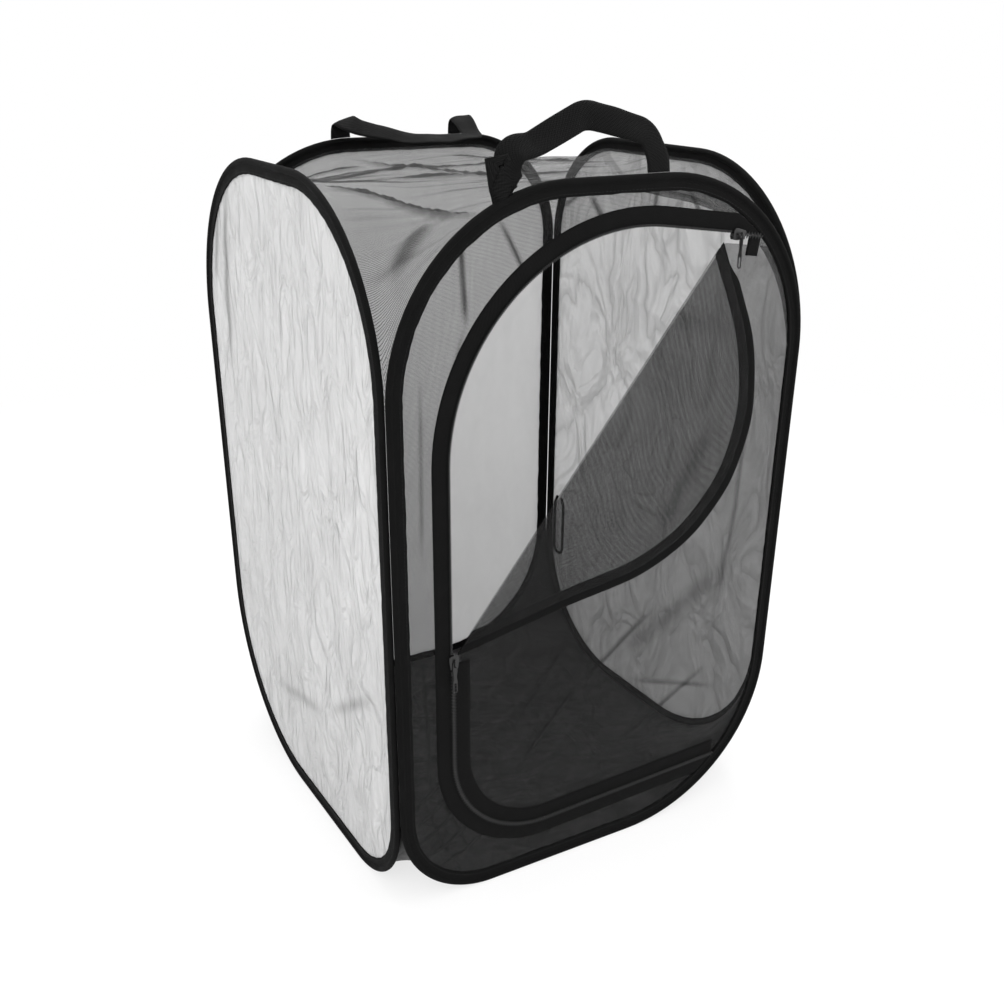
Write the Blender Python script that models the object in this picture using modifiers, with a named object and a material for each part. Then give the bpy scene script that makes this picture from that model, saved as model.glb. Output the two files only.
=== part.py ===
# Pop-up insect cage: four spring wire hoops in folded binding, joined into a square house of net and cloth.
# The front has a zipped door whose upper corner is folded open. Units are metres, +Z is up,
# +Y runs from the door side to the back, and the origin is on the ground under the middle of the cage.

import math

import bmesh
import bpy
import numpy as np
from mathutils import Matrix, Vector

# Driving dimensions
cage_width = 0.400
cage_depth = 0.400
cage_height = 0.600
cloth_thickness = 0.0006
seam_gap = 0.0003

# Spring wire, its joining ferrule and the tape folded over it
wire_radius = 0.00125
wire_end_gap = 0.0010
ferrule_bore_radius = 0.0015
ferrule_radius = 0.0018
ferrule_length = 0.016
sleeve_inner_radius = 0.0021
tape_fold_thickness = 0.0006
binding_width = 0.013
sleeve_radius = sleeve_inner_radius + tape_fold_thickness
seam_depth = 0.0055

# Hoop corner radii at the four posts: front left, front right, back right, back left
bottom_radii = (0.085, 0.150, 0.140, 0.160)
top_radii = (0.148, 0.150, 0.105, 0.150)
corner_steps = 7
halvings = 30

# Fold of the walls about the posts
fold_angle = math.radians(80)
post_gap = 0.0006
quarter_fold = fold_angle / 4
post_reach = (2 * sleeve_radius + post_gap) / (2 * math.cos(quarter_fold))
wide_offset = post_reach * (math.cos(quarter_fold) + math.sin(quarter_fold)) / math.sqrt(2)
narrow_offset = post_reach * (math.cos(quarter_fold) - math.sin(quarter_fold)) / math.sqrt(2)
side_plane = cage_width / 2 - sleeve_radius
front_plane = cage_depth / 2 - sleeve_radius
hoop_inset = wide_offset + narrow_offset
front_hoop_width = 2 * (side_plane - hoop_inset)
side_hoop_width = 2 * (front_plane - hoop_inset)
hoop_height = cage_height - 2 * sleeve_radius
hoop_crest = sleeve_radius + hoop_height
hoop_right = front_hoop_width / 2
hoop_left = -front_hoop_width / 2

# Zip: the line of the coil in the front wall, as each corner's distances inside the hoop wire's own sides
zip_right_inset = 0.0141
zip_left_inset = 0.0481
zip_low_right_inset = 0.0191
zip_top_right_drop = 0.0553
zip_top_left_drop = 0.0123
zip_low_left_rise = 0.0423
zip_low_right_rise = 0.0533
zip_radii = (0.165, 0.090)
zip_arc_steps = 12
zip_tape_width = 0.015
zip_tape_thickness = 0.0005
coil_width = 0.0056
coil_thickness = 0.0012
coil_split = 0.0004
tape_split = 0.0014
net_setback = 0.0075
tape_layer = cloth_thickness / 2 + seam_gap + zip_tape_thickness / 2
coil_layer = tape_layer + zip_tape_thickness / 2 + seam_gap + coil_thickness / 2

# Folded door corner
flap_upper_inset = 0.0871
flap_upper_drop = 0.0468
flap_lower_inset = 0.0561
flap_lower_share = 0.4075
flap_open_angle = math.radians(170)
flap_axis_layer = (cloth_thickness + seam_gap) / 2
flap_hem_trim = 0.016
flap_corner_trim = 0.028
flap_edge_gap = 0.0006

# Sliders
slider_length = 0.0120
slider_width = 0.0090
slider_plate = 0.0010
slider_post_width = 0.0016
slider_post_length = 0.0030
slider_play = 0.0003
slider_upper_inset = 0.0766
slider_lower_share = 0.3940
bridge_width = 0.0016
bridge_length = 0.0060
bridge_height = 0.0034
bridge_bar = 0.0010
pull_length = 0.0280
pull_thickness = 0.0009
pull_eye_bar = 0.0009
pull_eye_length = 0.0036
pull_ring_length = 0.0100
pull_corner_share = 0.85

# Carrying handles: each is a flat webbing loop of this width, drawn as shares of its half span and its rise.
# Its profile is then bent, as distance out from the wall and height over the middle of the hoop wire.
handle_width = 0.020
handle_thickness = 0.0016
handle_station = 0.0028
front_handle_middle = -0.032
front_handle_half_span = 0.066
front_handle_rise = 0.047
front_handle_shares = (
    (-1.00, 0.00),
    (-1.00, 0.24),
    (-1.19, 0.72),
    (0.12, 1.00),
    (0.91, 0.70),
    (1.00, 0.24),
    (1.00, 0.00),
)
front_handle_radii = (0.020, 0.013, 0.060, 0.014, 0.030)
front_handle_profile = (
    (0.000, 0.000),
    (-0.004, 0.018),
    (-0.011, 0.040),
    (-0.021, 0.064),
)
back_handle_middle = 0.012
back_handle_half_span = 0.064
back_handle_rise = 0.070
back_handle_shares = (
    (-1.00, 0.00),
    (-1.00, 0.20),
    (-0.88, 0.97),
    (0.06, 1.00),
    (0.97, 0.49),
    (1.00, 0.20),
    (1.00, 0.00),
)
back_handle_radii = (0.030, 0.013, 0.030, 0.020, 0.030)
back_handle_profile = (
    (0.0000, 0.0000),
    (0.0000, 0.0120),
    (-0.0030, 0.0175),
    (-0.0090, 0.0190),
    (-0.0220, 0.0150),
    (-0.0360, 0.0100),
    (-0.0500, 0.0065),
    (-0.0640, 0.0052),
    (-0.0800, 0.0050),
)
handle_bend_steps = 4

# Tie loop at the back right post
tie_height = 0.192
tie_post_gap = 0.005
tie_cord_radius = 0.0016
tie_loop_length = 0.072
tie_loop_width = 0.018
tie_root_share = 0.5

# Roof and floor sheets
sheet_cells = 16
roof_seam_depth = 0.0075
floor_seam_depth = 0.003
roof_sag = 0.006
floor_weight = 0.060
relax_rounds = 400

colours = {
    "wire": (0.55, 0.56, 0.58, 1.0),
    "ferrule": (0.62, 0.60, 0.56, 1.0),
    "tape": (0.012, 0.012, 0.013, 1.0),
    "net": (0.020, 0.020, 0.022, 1.0),
    "white_cloth": (0.80, 0.80, 0.79, 1.0),
    "floor_cloth": (0.030, 0.030, 0.032, 1.0),
    "coil": (0.018, 0.018, 0.020, 1.0),
    "slider": (0.030, 0.030, 0.032, 1.0),
    "webbing": (0.010, 0.010, 0.011, 1.0),
}
roughness = {
    "wire": 0.30,
    "ferrule": 0.40,
    "tape": 0.75,
    "net": 0.70,
    "white_cloth": 0.65,
    "floor_cloth": 0.80,
    "coil": 0.45,
    "slider": 0.35,
    "webbing": 0.85,
}
metals = ("wire", "ferrule")


def clear_scene():
    for obj in list(bpy.data.objects):
        bpy.data.objects.remove(obj, do_unlink=True)


def make_collection(name):
    collection = bpy.data.collections.new(name)
    bpy.context.scene.collection.children.link(collection)
    return collection


def make_material(obj_name, finish):
    material = bpy.data.materials.new(obj_name)
    material.use_nodes = True
    shader = material.node_tree.nodes["Principled BSDF"]
    shader.inputs["Base Color"].default_value = colours[finish]
    shader.inputs["Roughness"].default_value = roughness[finish]
    shader.inputs["Metallic"].default_value = 1.0 if finish in metals else 0.0
    return material


def add_object(name, data, finish, parent, location=(0, 0, 0), rotation=(0, 0, 0)):
    obj = bpy.data.objects.new(name, data)
    cage.objects.link(obj)
    data.materials.append(make_material(name, finish))
    obj.parent = parent
    obj.location = location
    obj.rotation_euler = rotation
    return obj


def add_empty(name, parent=None, location=(0, 0, 0), rotation=(0, 0, 0)):
    empty = bpy.data.objects.new(name, None)
    cage.objects.link(empty)
    empty.parent = parent
    empty.location = location
    empty.rotation_euler = rotation
    return empty


def poly_curve(name, loops, cyclic=True, flat=True):
    curve = bpy.data.curves.new(name, "CURVE")
    curve.dimensions = "2D" if flat else "3D"
    curve.resolution_u = 1
    for loop in loops:
        spline = curve.splines.new("POLY")
        spline.points.add(len(loop) - 1)
        for point, place in zip(spline.points, loop):
            point.co = (place[0], place[1], place[2] if len(place) > 2 else 0, 1)
        spline.use_cyclic_u = cyclic
    return curve


def plate_curve(name, loops, thickness):
    curve = poly_curve(name, loops)
    curve.fill_mode = "BOTH"
    curve.extrude = thickness / 2
    return curve


def arc(centre, radius, start, end, steps):
    turns = [start + (end - start) * step / steps for step in range(steps + 1)]
    return [Vector((centre[0] + radius * math.cos(t), centre[1] + radius * math.sin(t))) for t in turns]


def rounded_outline(width, low, high, radii, steps=corner_steps):
    """Closed outline from the low left corner, anticlockwise, with its own radius at each corner."""
    corners = (
        ((-width / 2, low), (1, 1), math.pi),
        ((width / 2, low), (-1, 1), 1.5 * math.pi),
        ((width / 2, high), (-1, -1), 0),
        ((-width / 2, high), (1, -1), 0.5 * math.pi),
    )
    points = []
    for (corner, inward, start), radius in zip(corners, radii):
        centre = (corner[0] + inward[0] * radius, corner[1] + inward[1] * radius)
        points += arc(centre, radius, start, start + math.pi / 2, steps)
    return points


def filleted_path(corners, radii, steps):
    """Open path through the corners, with an arc of its own radius at each inner one."""
    points = [Vector(corners[0])]
    for before, corner, after, radius in zip(corners, corners[1:], corners[2:], radii):
        corner = Vector(corner)
        inward = (Vector(before) - corner).normalized()
        outward = (Vector(after) - corner).normalized()
        half = inward.angle(outward) / 2
        centre = corner + (inward + outward).normalized() * radius / math.sin(half)
        first = corner + inward * radius / math.tan(half) - centre
        turn = math.copysign(math.pi - 2 * half, outward.cross(inward))
        for step in range(steps + 1):
            points.append(centre + Matrix.Rotation(turn * step / steps, 2) @ first)
    points.append(Vector(corners[-1]))
    return points


def offset_path(points, distance):
    """The path moved sideways, to its right as it runs where the distance is positive."""
    moved = []
    for index, point in enumerate(points):
        before = points[max(index - 1, 0)]
        after = points[min(index + 1, len(points) - 1)]
        first = (point - before).normalized() if index else (after - point).normalized()
        second = (after - point).normalized() if index < len(points) - 1 else first
        side = Vector((first.y + second.y, -first.x - second.x)).normalized()
        spread = side.dot(Vector((first.y, -first.x)))
        moved.append(point + side * distance / spread)
    return moved


def path_length(points):
    return sum((b - a).length for a, b in zip(points, points[1:]))


def path_slice(points, start, end):
    """The stretch of a path between two distances along it."""
    kept = []
    walked = 0
    for a, b in zip(points, points[1:]):
        step = (b - a).length
        low = max(start - walked, 0)
        high = min(end - walked, step)
        if low < high:
            if not kept:
                kept.append(a.lerp(b, low / step))
            kept.append(a.lerp(b, high / step))
        walked += step
    return kept


def distance_at(points, test):
    """The distance along a path of the first place where the test turns true."""
    walked = 0
    for a, b in zip(points, points[1:]):
        if test(b):
            low, high = 0.0, 1.0
            for _ in range(halvings):
                middle = (low + high) / 2
                if test(a.lerp(b, middle)):
                    high = middle
                else:
                    low = middle
            return walked + (b - a).length * high
        walked += (b - a).length
    return walked


def stretch_where(points, test):
    """The first stretch of a path on which the test holds."""
    start = 0 if test(points[0]) else distance_at(points, test)
    rest = path_slice(points, start, path_length(points))
    return path_slice(rest, 0, distance_at(rest, lambda point: not test(point)))


def within(outline, point):
    """Whether a point lies inside a closed convex outline that runs anticlockwise."""
    return all((b - a).cross(point - a) > 0 for a, b in zip(outline, outline[1:] + outline[:1]))


def smooth_path(points, steps):
    """Catmull-Rom points through an open list."""
    ends = [2 * points[0] - points[1]] + list(points) + [2 * points[-1] - points[-2]]
    out = []
    for a, b, c, d in zip(ends, ends[1:], ends[2:], ends[3:]):
        for step in range(steps):
            t = step / steps
            out.append(
                b
                + (c - a) * t / 2
                + (2 * a - 5 * b + 4 * c - d) * t ** 2 / 2
                + (3 * b - a - 3 * c + d) * t ** 3 / 2
            )
    out.append(points[-1])
    return out


def turned_mesh(name, profile, finish, parent, location, rotation, steps=20):
    """A closed profile of radius and height turned about the local Z axis."""
    mesh = bpy.data.meshes.new(name)
    count = len(profile)
    mesh.from_pydata([(r, 0, z) for r, z in profile], [(i, (i + 1) % count) for i in range(count)], [])
    obj = add_object(name, mesh, finish, parent, location, rotation)
    screw = obj.modifiers.new("Turn", "SCREW")
    screw.steps = steps
    screw.render_steps = steps
    screw.use_merge_vertices = True
    screw.merge_threshold = 0.00001
    return obj


def box_mesh(name, size, centre):
    mesh = bpy.data.meshes.new(name)
    shape = bmesh.new()
    bmesh.ops.create_cube(shape, size=1)
    bmesh.ops.scale(shape, vec=size, verts=shape.verts)
    bmesh.ops.translate(shape, vec=centre, verts=shape.verts)
    shape.to_mesh(mesh)
    shape.free()
    return mesh


def join_solids(obj, others):
    for other in others:
        union = obj.modifiers.new("Join " + other.name, "BOOLEAN")
        union.operation = "UNION"
        union.object = other


def guide_object(name, data, parent, location=(0, 0, 0), rotation=(0, 0, 0)):
    obj = bpy.data.objects.new(name, data)
    cutters.objects.link(obj)
    obj.parent = parent
    obj.location = location
    obj.rotation_euler = rotation
    obj.hide_render = True
    obj.display_type = "WIRE"
    return obj


# Walls: each has its own frame with local x to the right as seen from outside and local z outwards
def wall_radii(first, second):
    return (bottom_radii[first], bottom_radii[second], top_radii[second], top_radii[first])


def wire_outline(width, radii):
    return rounded_outline(width, sleeve_radius, sleeve_radius + hoop_height, radii)


def inset_outline(width, radii, inset):
    inner = [radius - inset for radius in radii]
    low = sleeve_radius + inset
    return rounded_outline(width - 2 * inset, low, sleeve_radius + hoop_height - inset, inner)


def binding_profile():
    """The tape in section: round the wire, then two legs towards the panel, with a slot between them."""
    leg = cloth_thickness / 2 + seam_gap
    inner_start = math.asin(leg / sleeve_inner_radius)
    outer_start = math.asin((leg + tape_fold_thickness) / sleeve_radius)
    reach = binding_width - sleeve_radius
    outer = arc((0, 0), sleeve_radius, outer_start, 2 * math.pi - outer_start, 8)
    inner = arc((0, 0), sleeve_inner_radius, inner_start, 2 * math.pi - inner_start, 8)
    lower_leg = [Vector((reach, -leg - tape_fold_thickness)), Vector((reach, -leg))]
    upper_leg = [Vector((reach, leg)), Vector((reach, leg + tape_fold_thickness))]
    return (outer + lower_leg + inner[::-1] + upper_leg)[::-1]


def make_hoop(side, wall, width, radii):
    outline = wire_outline(width, radii)
    # The wire is open at the middle of the bottom, where the ferrule joins its ends
    first_corner = corner_steps + 1
    middle = (radii[0] - radii[1]) / 2
    start = Vector((middle + wire_end_gap / 2, sleeve_radius))
    stop = Vector((middle - wire_end_gap / 2, sleeve_radius))
    ends = [start] + outline[first_corner:] + outline[:first_corner] + [stop]
    wire = poly_curve(side + "_hoop_wire", [ends], cyclic=False)
    wire.bevel_depth = wire_radius
    wire.bevel_resolution = 1
    wire.use_fill_caps = True
    add_object(side + "_hoop_wire", wire, "wire", wall)
    half = ferrule_length / 2
    profile = [
        (ferrule_radius, half),
        (ferrule_radius, -half),
        (ferrule_bore_radius, -half),
        (ferrule_bore_radius, half),
    ]
    place = (middle, sleeve_radius, 0)
    turned_mesh(side + "_hoop_ferrule", profile, "ferrule", wall, place, (0, math.pi / 2, 0), steps=12)
    tape = poly_curve(side + "_binding", [outline])
    tape.bevel_mode = "OBJECT"
    tape.bevel_object = section_guide
    add_object(side + "_binding", tape, "tape", wall)


def make_panel(name, wall, width, radii, finish):
    outline = inset_outline(width, radii, seam_depth)
    add_object(name, plate_curve(name, [outline], cloth_thickness), finish, wall)


# Roof and floor: a sheet hung from the hoops' edges and pulled flat, relaxed on a square grid
def hoop_edge(distance, width, radii, depth):
    """How far a seam inside the hoop has left its straight edge at a distance from the middle."""
    radius = radii[1] if distance > 0 else radii[0]
    over = abs(distance) - (width / 2 - radius)
    if over <= 0:
        return depth
    return radius - math.sqrt(max((radius - depth) ** 2 - over ** 2, 0))


def relaxed_sheet(width, depth, edge_height, load, floor):
    """Heights on a grid whose rim follows edge_height, each inner one its neighbours' mean less a load."""
    places_x = np.linspace(-width / 2, width / 2, sheet_cells + 1)
    places_y = np.linspace(-depth / 2, depth / 2, sheet_cells + 1)
    height = np.array([[edge_height(x, y) for x in places_x] for y in places_y])
    for _ in range(relax_rounds):
        mean = (height[:-2, 1:-1] + height[2:, 1:-1] + height[1:-1, :-2] + height[1:-1, 2:]) / 4
        height[1:-1, 1:-1] = np.maximum(mean - load, floor)
    return places_x, places_y, height


def skin_mesh(name, rows, thickness, finish, parent, location=(0, 0, 0)):
    """A sheet of even thickness through rows of points."""
    shape = bmesh.new()
    rows = [[shape.verts.new(point) for point in row] for row in rows]
    for low, high in zip(rows, rows[1:]):
        for a, b, c, d in zip(low, low[1:], high[1:], high):
            shape.faces.new((a, b, c, d))
    mesh = bpy.data.meshes.new(name)
    shape.to_mesh(mesh)
    shape.free()
    mesh.shade_smooth()
    obj = add_object(name, mesh, finish, parent, location)
    solid = obj.modifiers.new("Thickness", "SOLIDIFY")
    solid.thickness = thickness
    solid.offset = 0


def sheet_mesh(name, places_x, places_y, height, thickness, finish, parent, location=(0, 0, 0)):
    rows = [[(x, y, z) for x, z in zip(places_x, line)] for y, line in zip(places_y, height)]
    skin_mesh(name, rows, thickness, finish, parent, location)


clear_scene()
cage = make_collection("insect_cage")
cutters = make_collection("cutters")

section_curve = poly_curve("binding_section", [binding_profile()])
section_guide = bpy.data.objects.new("binding_section", section_curve)
cutters.objects.link(section_guide)
section_guide.hide_render = True
section_guide.display_type = "WIRE"

# Posts: the walls turn about these upright lines. The front left and back right posts open as the cage folds.
post_front_left = Vector((-side_plane + narrow_offset, -front_plane + narrow_offset, 0))
post_front_right = Vector((side_plane - wide_offset, -front_plane + wide_offset, 0))
post_back_left = Vector((-side_plane + wide_offset, front_plane - wide_offset, 0))

upright = math.pi / 2
front_wall = add_empty("front_wall", location=(0, -front_plane, 0), rotation=(upright, 0, 0))
left_post = add_empty("left_post", location=post_front_left)
left_place = Vector((-side_plane, 0, 0)) - post_front_left
left_wall = add_empty("left_wall", left_post, left_place, (upright, 0, -upright))
right_post = add_empty("right_post", location=post_front_right)
right_place = Vector((side_plane, 0, 0)) - post_front_right
right_wall = add_empty("right_wall", right_post, right_place, (upright, 0, upright))
back_post = add_empty("back_post", left_post, post_back_left - post_front_left)
back_place = Vector((0, front_plane, 0)) - post_back_left
back_wall = add_empty("back_wall", back_post, back_place, (upright, 0, math.pi))

walls = {
    "front": (front_wall, front_hoop_width, wall_radii(0, 1)),
    "right": (right_wall, side_hoop_width, wall_radii(1, 2)),
    "back": (back_wall, front_hoop_width, wall_radii(2, 3)),
    "left": (left_wall, side_hoop_width, wall_radii(3, 0)),
}
for side, (wall, width, radii) in walls.items():
    make_hoop(side, wall, width, radii)
    if side != "front":
        make_panel(side + "_wall_cloth", wall, width, radii, "white_cloth")

# Front net: the strip outside the zip
front_radii = walls["front"][2]
panel_edge = inset_outline(front_hoop_width, front_radii, seam_depth)
tape_edge = inset_outline(front_hoop_width, front_radii, binding_width - sleeve_radius + seam_gap)
zip_corners = (
    (hoop_right - zip_right_inset, hoop_crest - zip_top_right_drop),
    (hoop_left + zip_left_inset, hoop_crest - zip_top_left_drop),
    (hoop_left + zip_left_inset, sleeve_radius + zip_low_left_rise),
    (hoop_right - zip_low_right_inset, sleeve_radius + zip_low_right_rise),
)
coil_line = filleted_path(zip_corners, zip_radii, zip_arc_steps)
corner_points = corner_steps + 1


def in_panel(point):
    return within(panel_edge, point)


def strip_outline():
    """The hoop's edge from the top right round the left to the bottom right, then back along the zip."""
    edge = stretch_where(offset_path(coil_line, net_setback), in_panel)
    bottom_right = panel_edge[corner_points:2 * corner_points]
    top_right = panel_edge[2 * corner_points:3 * corner_points]
    upper = [point for point in top_right if point.y > edge[0].y + seam_gap]
    lower = [point for point in bottom_right if point.y < edge[-1].y - seam_gap]
    return upper + panel_edge[3 * corner_points:] + panel_edge[:corner_points] + lower + edge[::-1]


add_object("front_net", plate_curve("front_net", [strip_outline()], cloth_thickness), "net", front_wall)

# Door: the part below the fold line is still zipped in and sewn into the right of the hoop
flap_upper = Vector((hoop_right - flap_upper_inset, hoop_crest - flap_upper_drop))
flap_lower = Vector((hoop_left + flap_lower_inset, sleeve_radius + flap_lower_share * hoop_height))
fold_line = (flap_upper - flap_lower).normalized()
fold_normal = Vector((-fold_line.y, fold_line.x))


def beyond_fold(point):
    return (point - flap_lower).dot(fold_normal)


door_edge = stretch_where(offset_path(coil_line, -net_setback), in_panel)
door_top = stretch_where(door_edge, lambda point: beyond_fold(point) < -flap_edge_gap)
door_bottom = stretch_where(door_edge[::-1], lambda point: beyond_fold(point) < -flap_edge_gap)[::-1]


def door_outline():
    right_side = panel_edge[corner_points:3 * corner_points]
    side = [point for point in right_side if door_bottom[-1].y < point.y < door_top[0].y]
    return door_top + door_bottom + side


add_object("door_net", plate_curve("door_net", [door_outline()], cloth_thickness), "net", front_wall)

# Folded corner of the door, drawn closed and then turned open about the fold line
fold_middle = (flap_upper + flap_lower) / 2
fold_slope = math.atan2(fold_line.y, fold_line.x)
flap_axis = add_empty(
    "flap_axis", front_wall, (fold_middle.x, fold_middle.y, flap_axis_layer), (0, 0, fold_slope)
)
flap_turn = add_empty("flap_turn", flap_axis, rotation=(flap_open_angle, 0, 0))


def flap_local(points):
    """Front wall places as seen from the fold line: along it and away from it."""
    return [Vector(((p - fold_middle).dot(fold_line), (p - fold_middle).dot(fold_normal))) for p in points]


def flap_outline():
    edge = stretch_where(door_edge, lambda point: beyond_fold(point) > flap_hem_trim)
    upper = flap_upper - fold_line * flap_corner_trim + fold_normal * flap_edge_gap
    lower = flap_lower + fold_line * flap_corner_trim + fold_normal * flap_edge_gap
    return flap_local([upper] + edge + [lower])


add_object(
    "door_flap_net",
    plate_curve("door_flap_net", [flap_outline()], cloth_thickness),
    "net",
    flap_turn,
    (0, 0, -flap_axis_layer),
)

# Zip tapes and coil, each cut off where it would run under the binding
near = tape_split / 2
far = near + zip_tape_width
coil_near = coil_split / 2
coil_far = coil_width / 2
slider_upper_x = hoop_right - slider_upper_inset
slider_lower_z = sleeve_radius + slider_lower_share * hoop_height
slider_upper_run = distance_at(coil_line, lambda point: point.x < slider_upper_x)
slider_lower_run = distance_at(coil_line, lambda point: point.x < 0 and point.y < slider_lower_z)


def in_opening(point):
    return within(tape_edge, point)


def ribbon(points, first, second):
    sides = [stretch_where(offset_path(points, shift), in_opening) for shift in (first, second)]
    return sides[0] + sides[1][::-1]


def lay(name, loop, layer, thickness, finish, parent):
    add_object(name, plate_curve(name, [loop], thickness), finish, parent, (0, 0, layer))


def lay_tape(name, loop, parent, drop=0):
    lay(name, loop, tape_layer - drop, zip_tape_thickness, "tape", parent)


def lay_coil(name, loop, parent, drop=0):
    lay(name, loop, coil_layer - drop, coil_thickness, "coil", parent)


lay_tape("zip_frame_tape", ribbon(coil_line, near, far), front_wall)
before_fold = stretch_where(coil_line, lambda point: beyond_fold(point) < -flap_hem_trim)
after_fold = stretch_where(coil_line[::-1], lambda point: beyond_fold(point) < -flap_edge_gap)[::-1]
lay_tape("zip_door_tape_top", ribbon(before_fold, -near, -far), front_wall)
lay_tape("zip_door_tape_low", ribbon(after_fold, -near, -far), front_wall)

closed_top = path_slice(coil_line, 0, slider_upper_run - slider_length / 4)
closed_low = path_slice(coil_line, slider_lower_run + slider_length / 4, path_length(coil_line))
open_frame = path_slice(coil_line, slider_upper_run + slider_length / 2, slider_lower_run - slider_length / 2)
lay_coil("zip_coil_top", ribbon(closed_top, -coil_far, coil_far), front_wall)
lay_coil("zip_coil_low", ribbon(closed_low, -coil_far, coil_far), front_wall)
lay_coil("zip_coil_frame", ribbon(open_frame, coil_near, coil_far), front_wall)

hem = stretch_where(coil_line, lambda point: beyond_fold(point) > flap_hem_trim + far)
lay_tape("zip_flap_tape", flap_local(ribbon(hem, -near, -far)), flap_turn, flap_axis_layer)
lay_coil("zip_coil_flap", flap_local(ribbon(hem, -coil_near, -coil_far)), flap_turn, flap_axis_layer)


# Sliders: two plates on a post, with a bridge for the pull. Local x is across the zip and local y along it,
# towards the open stretch. The post keeps to the door's half of the zip.
def make_slider(name, run, turned, post_side):
    piece = path_slice(coil_line, run - seam_gap, run + seam_gap)
    middle = (piece[0] + piece[-1]) / 2
    along = piece[0] - piece[-1] if turned else piece[-1] - piece[0]
    heading = math.atan2(-along.x, along.y)
    seat = add_empty(name + "_seat", front_wall, (middle.x, middle.y, coil_layer), (0, 0, heading))
    top = coil_thickness / 2 + slider_play + slider_plate / 2
    low = tape_layer - coil_layer - zip_tape_thickness / 2 - slider_play - slider_plate / 2
    plate_size = (slider_width, slider_length, slider_plate)
    slider = add_object(name, box_mesh(name, plate_size, (0, 0, top)), "slider", seat)
    lower = box_mesh(name + "_lower", plate_size, (0, 0, low))
    post_x = post_side * (slider_post_width / 2 + coil_near)
    post_y = (slider_length - slider_post_length) / 2
    post_size = (slider_post_width, slider_post_length, top - low)
    post = box_mesh(name + "_post", post_size, (post_x, post_y, (top + low) / 2))
    bridge_size = (bridge_width, bridge_length, bridge_height)
    bridge = box_mesh(name + "_bridge", bridge_size, (0, 0, top + bridge_height / 2))
    join_solids(
        slider,
        [
            guide_object(name + "_lower", lower, seat),
            guide_object(name + "_post", post, seat),
            guide_object(name + "_bridge", bridge, seat),
        ],
    )
    floor_z = top + slider_plate / 2
    bar_z = top + bridge_height - bridge_bar / 2
    tunnel_height = bar_z - bridge_bar / 2 - floor_z
    tunnel = box_mesh(
        name + "_tunnel",
        (2 * bridge_width, bridge_length - 2 * bridge_bar, tunnel_height),
        (0, 0, floor_z + tunnel_height / 2),
    )
    cut = slider.modifiers.new("Tunnel", "BOOLEAN")
    cut.operation = "DIFFERENCE"
    cut.object = guide_object(name + "_tunnel", tunnel, seat)
    return seat, bar_z, floor_z + tunnel_height / 2


def make_pull(name, seat, height, lift, turn):
    """An eye, a flat tongue and a ring at its end, hanging straight down from a level pin on the slider."""
    pin = add_empty(name + "_pin", seat, (0, 0, height), (0, 0, -seat.rotation_euler.z))
    hole = bridge_width / 2 + slider_play
    half = hole + pull_eye_bar
    eye_top = lift - pull_eye_bar / 2
    high = lift + pull_eye_bar / 2
    low = high - pull_length
    radii = (half * pull_corner_share,) * 4
    hole_radii = (hole * pull_corner_share,) * 4
    outer = rounded_outline(2 * half, low, high, radii, steps=4)
    eye = rounded_outline(2 * hole, eye_top - pull_eye_length, eye_top, hole_radii, steps=2)
    ring_low = low + pull_eye_bar
    ring_high = low + pull_ring_length - pull_eye_bar
    ring = rounded_outline(2 * hole, ring_low, ring_high, hole_radii, steps=4)
    pull = plate_curve(name, [outer, eye, ring], pull_thickness)
    add_object(name, pull, "slider", pin, rotation=(0, turn, 0))


# The upper pull hangs edge on, its eye round the bridge's bar; the lower one lies flat, its eye in the tunnel
upper_seat, upper_bar, _ = make_slider("upper_slider", slider_upper_run, False, -1)
lower_seat, _, lower_tunnel = make_slider("lower_slider", slider_lower_run, True, 1)
eye_lift = bridge_width / 2 + slider_play + pull_eye_bar / 2
make_pull("upper_slider_pull", upper_seat, upper_bar, eye_lift, math.pi / 2)
make_pull("lower_slider_pull", lower_seat, lower_tunnel, 0, 0)

# Handles: webbing loops sewn to the top of the front and back hoops
handle_lift = sleeve_radius + seam_gap


def walked(points, distance):
    return (path_slice(points, 0, distance) or points[:1])[-1]


def make_handle(name, parent, middle, half_span, rise, shares, radii, profile):
    """The loop's flat shape keeps its x, and its distance from the hoop follows the profile."""
    corners = [(across * half_span, handle_lift + up * rise) for across, up in shares]
    path = filleted_path(corners, radii, corner_steps)
    count = round(path_length(path) / handle_station)
    stations = [walked(path, path_length(path) * step / count) for step in range(count + 1)]
    edges = [offset_path(stations, shift) for shift in (-handle_width / 2, 0, handle_width / 2)]
    bend = smooth_path([Vector(place) for place in profile], handle_bend_steps)
    rows = []
    for edge in edges:
        bent = [walked(bend, place.y) for place in edge]
        rows.append([(place.x, turned.y, turned.x) for place, turned in zip(edge, bent)])
    swing = add_empty(name + "_swing", parent, (middle, hoop_crest, 0))
    skin_mesh(name, rows, handle_thickness, "webbing", swing)


make_handle(
    "front_handle",
    front_wall,
    front_handle_middle,
    front_handle_half_span,
    front_handle_rise,
    front_handle_shares,
    front_handle_radii,
    front_handle_profile,
)
make_handle(
    "back_handle",
    back_wall,
    -back_handle_middle,
    back_handle_half_span,
    back_handle_rise,
    back_handle_shares,
    back_handle_radii,
    back_handle_profile,
)

# Tie: an elastic loop sewn to the right wall beside the back post
def tie_points():
    half = tie_loop_width / 2
    root = half * tie_root_share
    turn = arc((0, half - tie_loop_length), half, 0, -math.pi, 6)
    return [Vector((root, 0)), Vector((half, -half))] + turn + [Vector((-half, -half)), Vector((-root, 0))]


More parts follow.
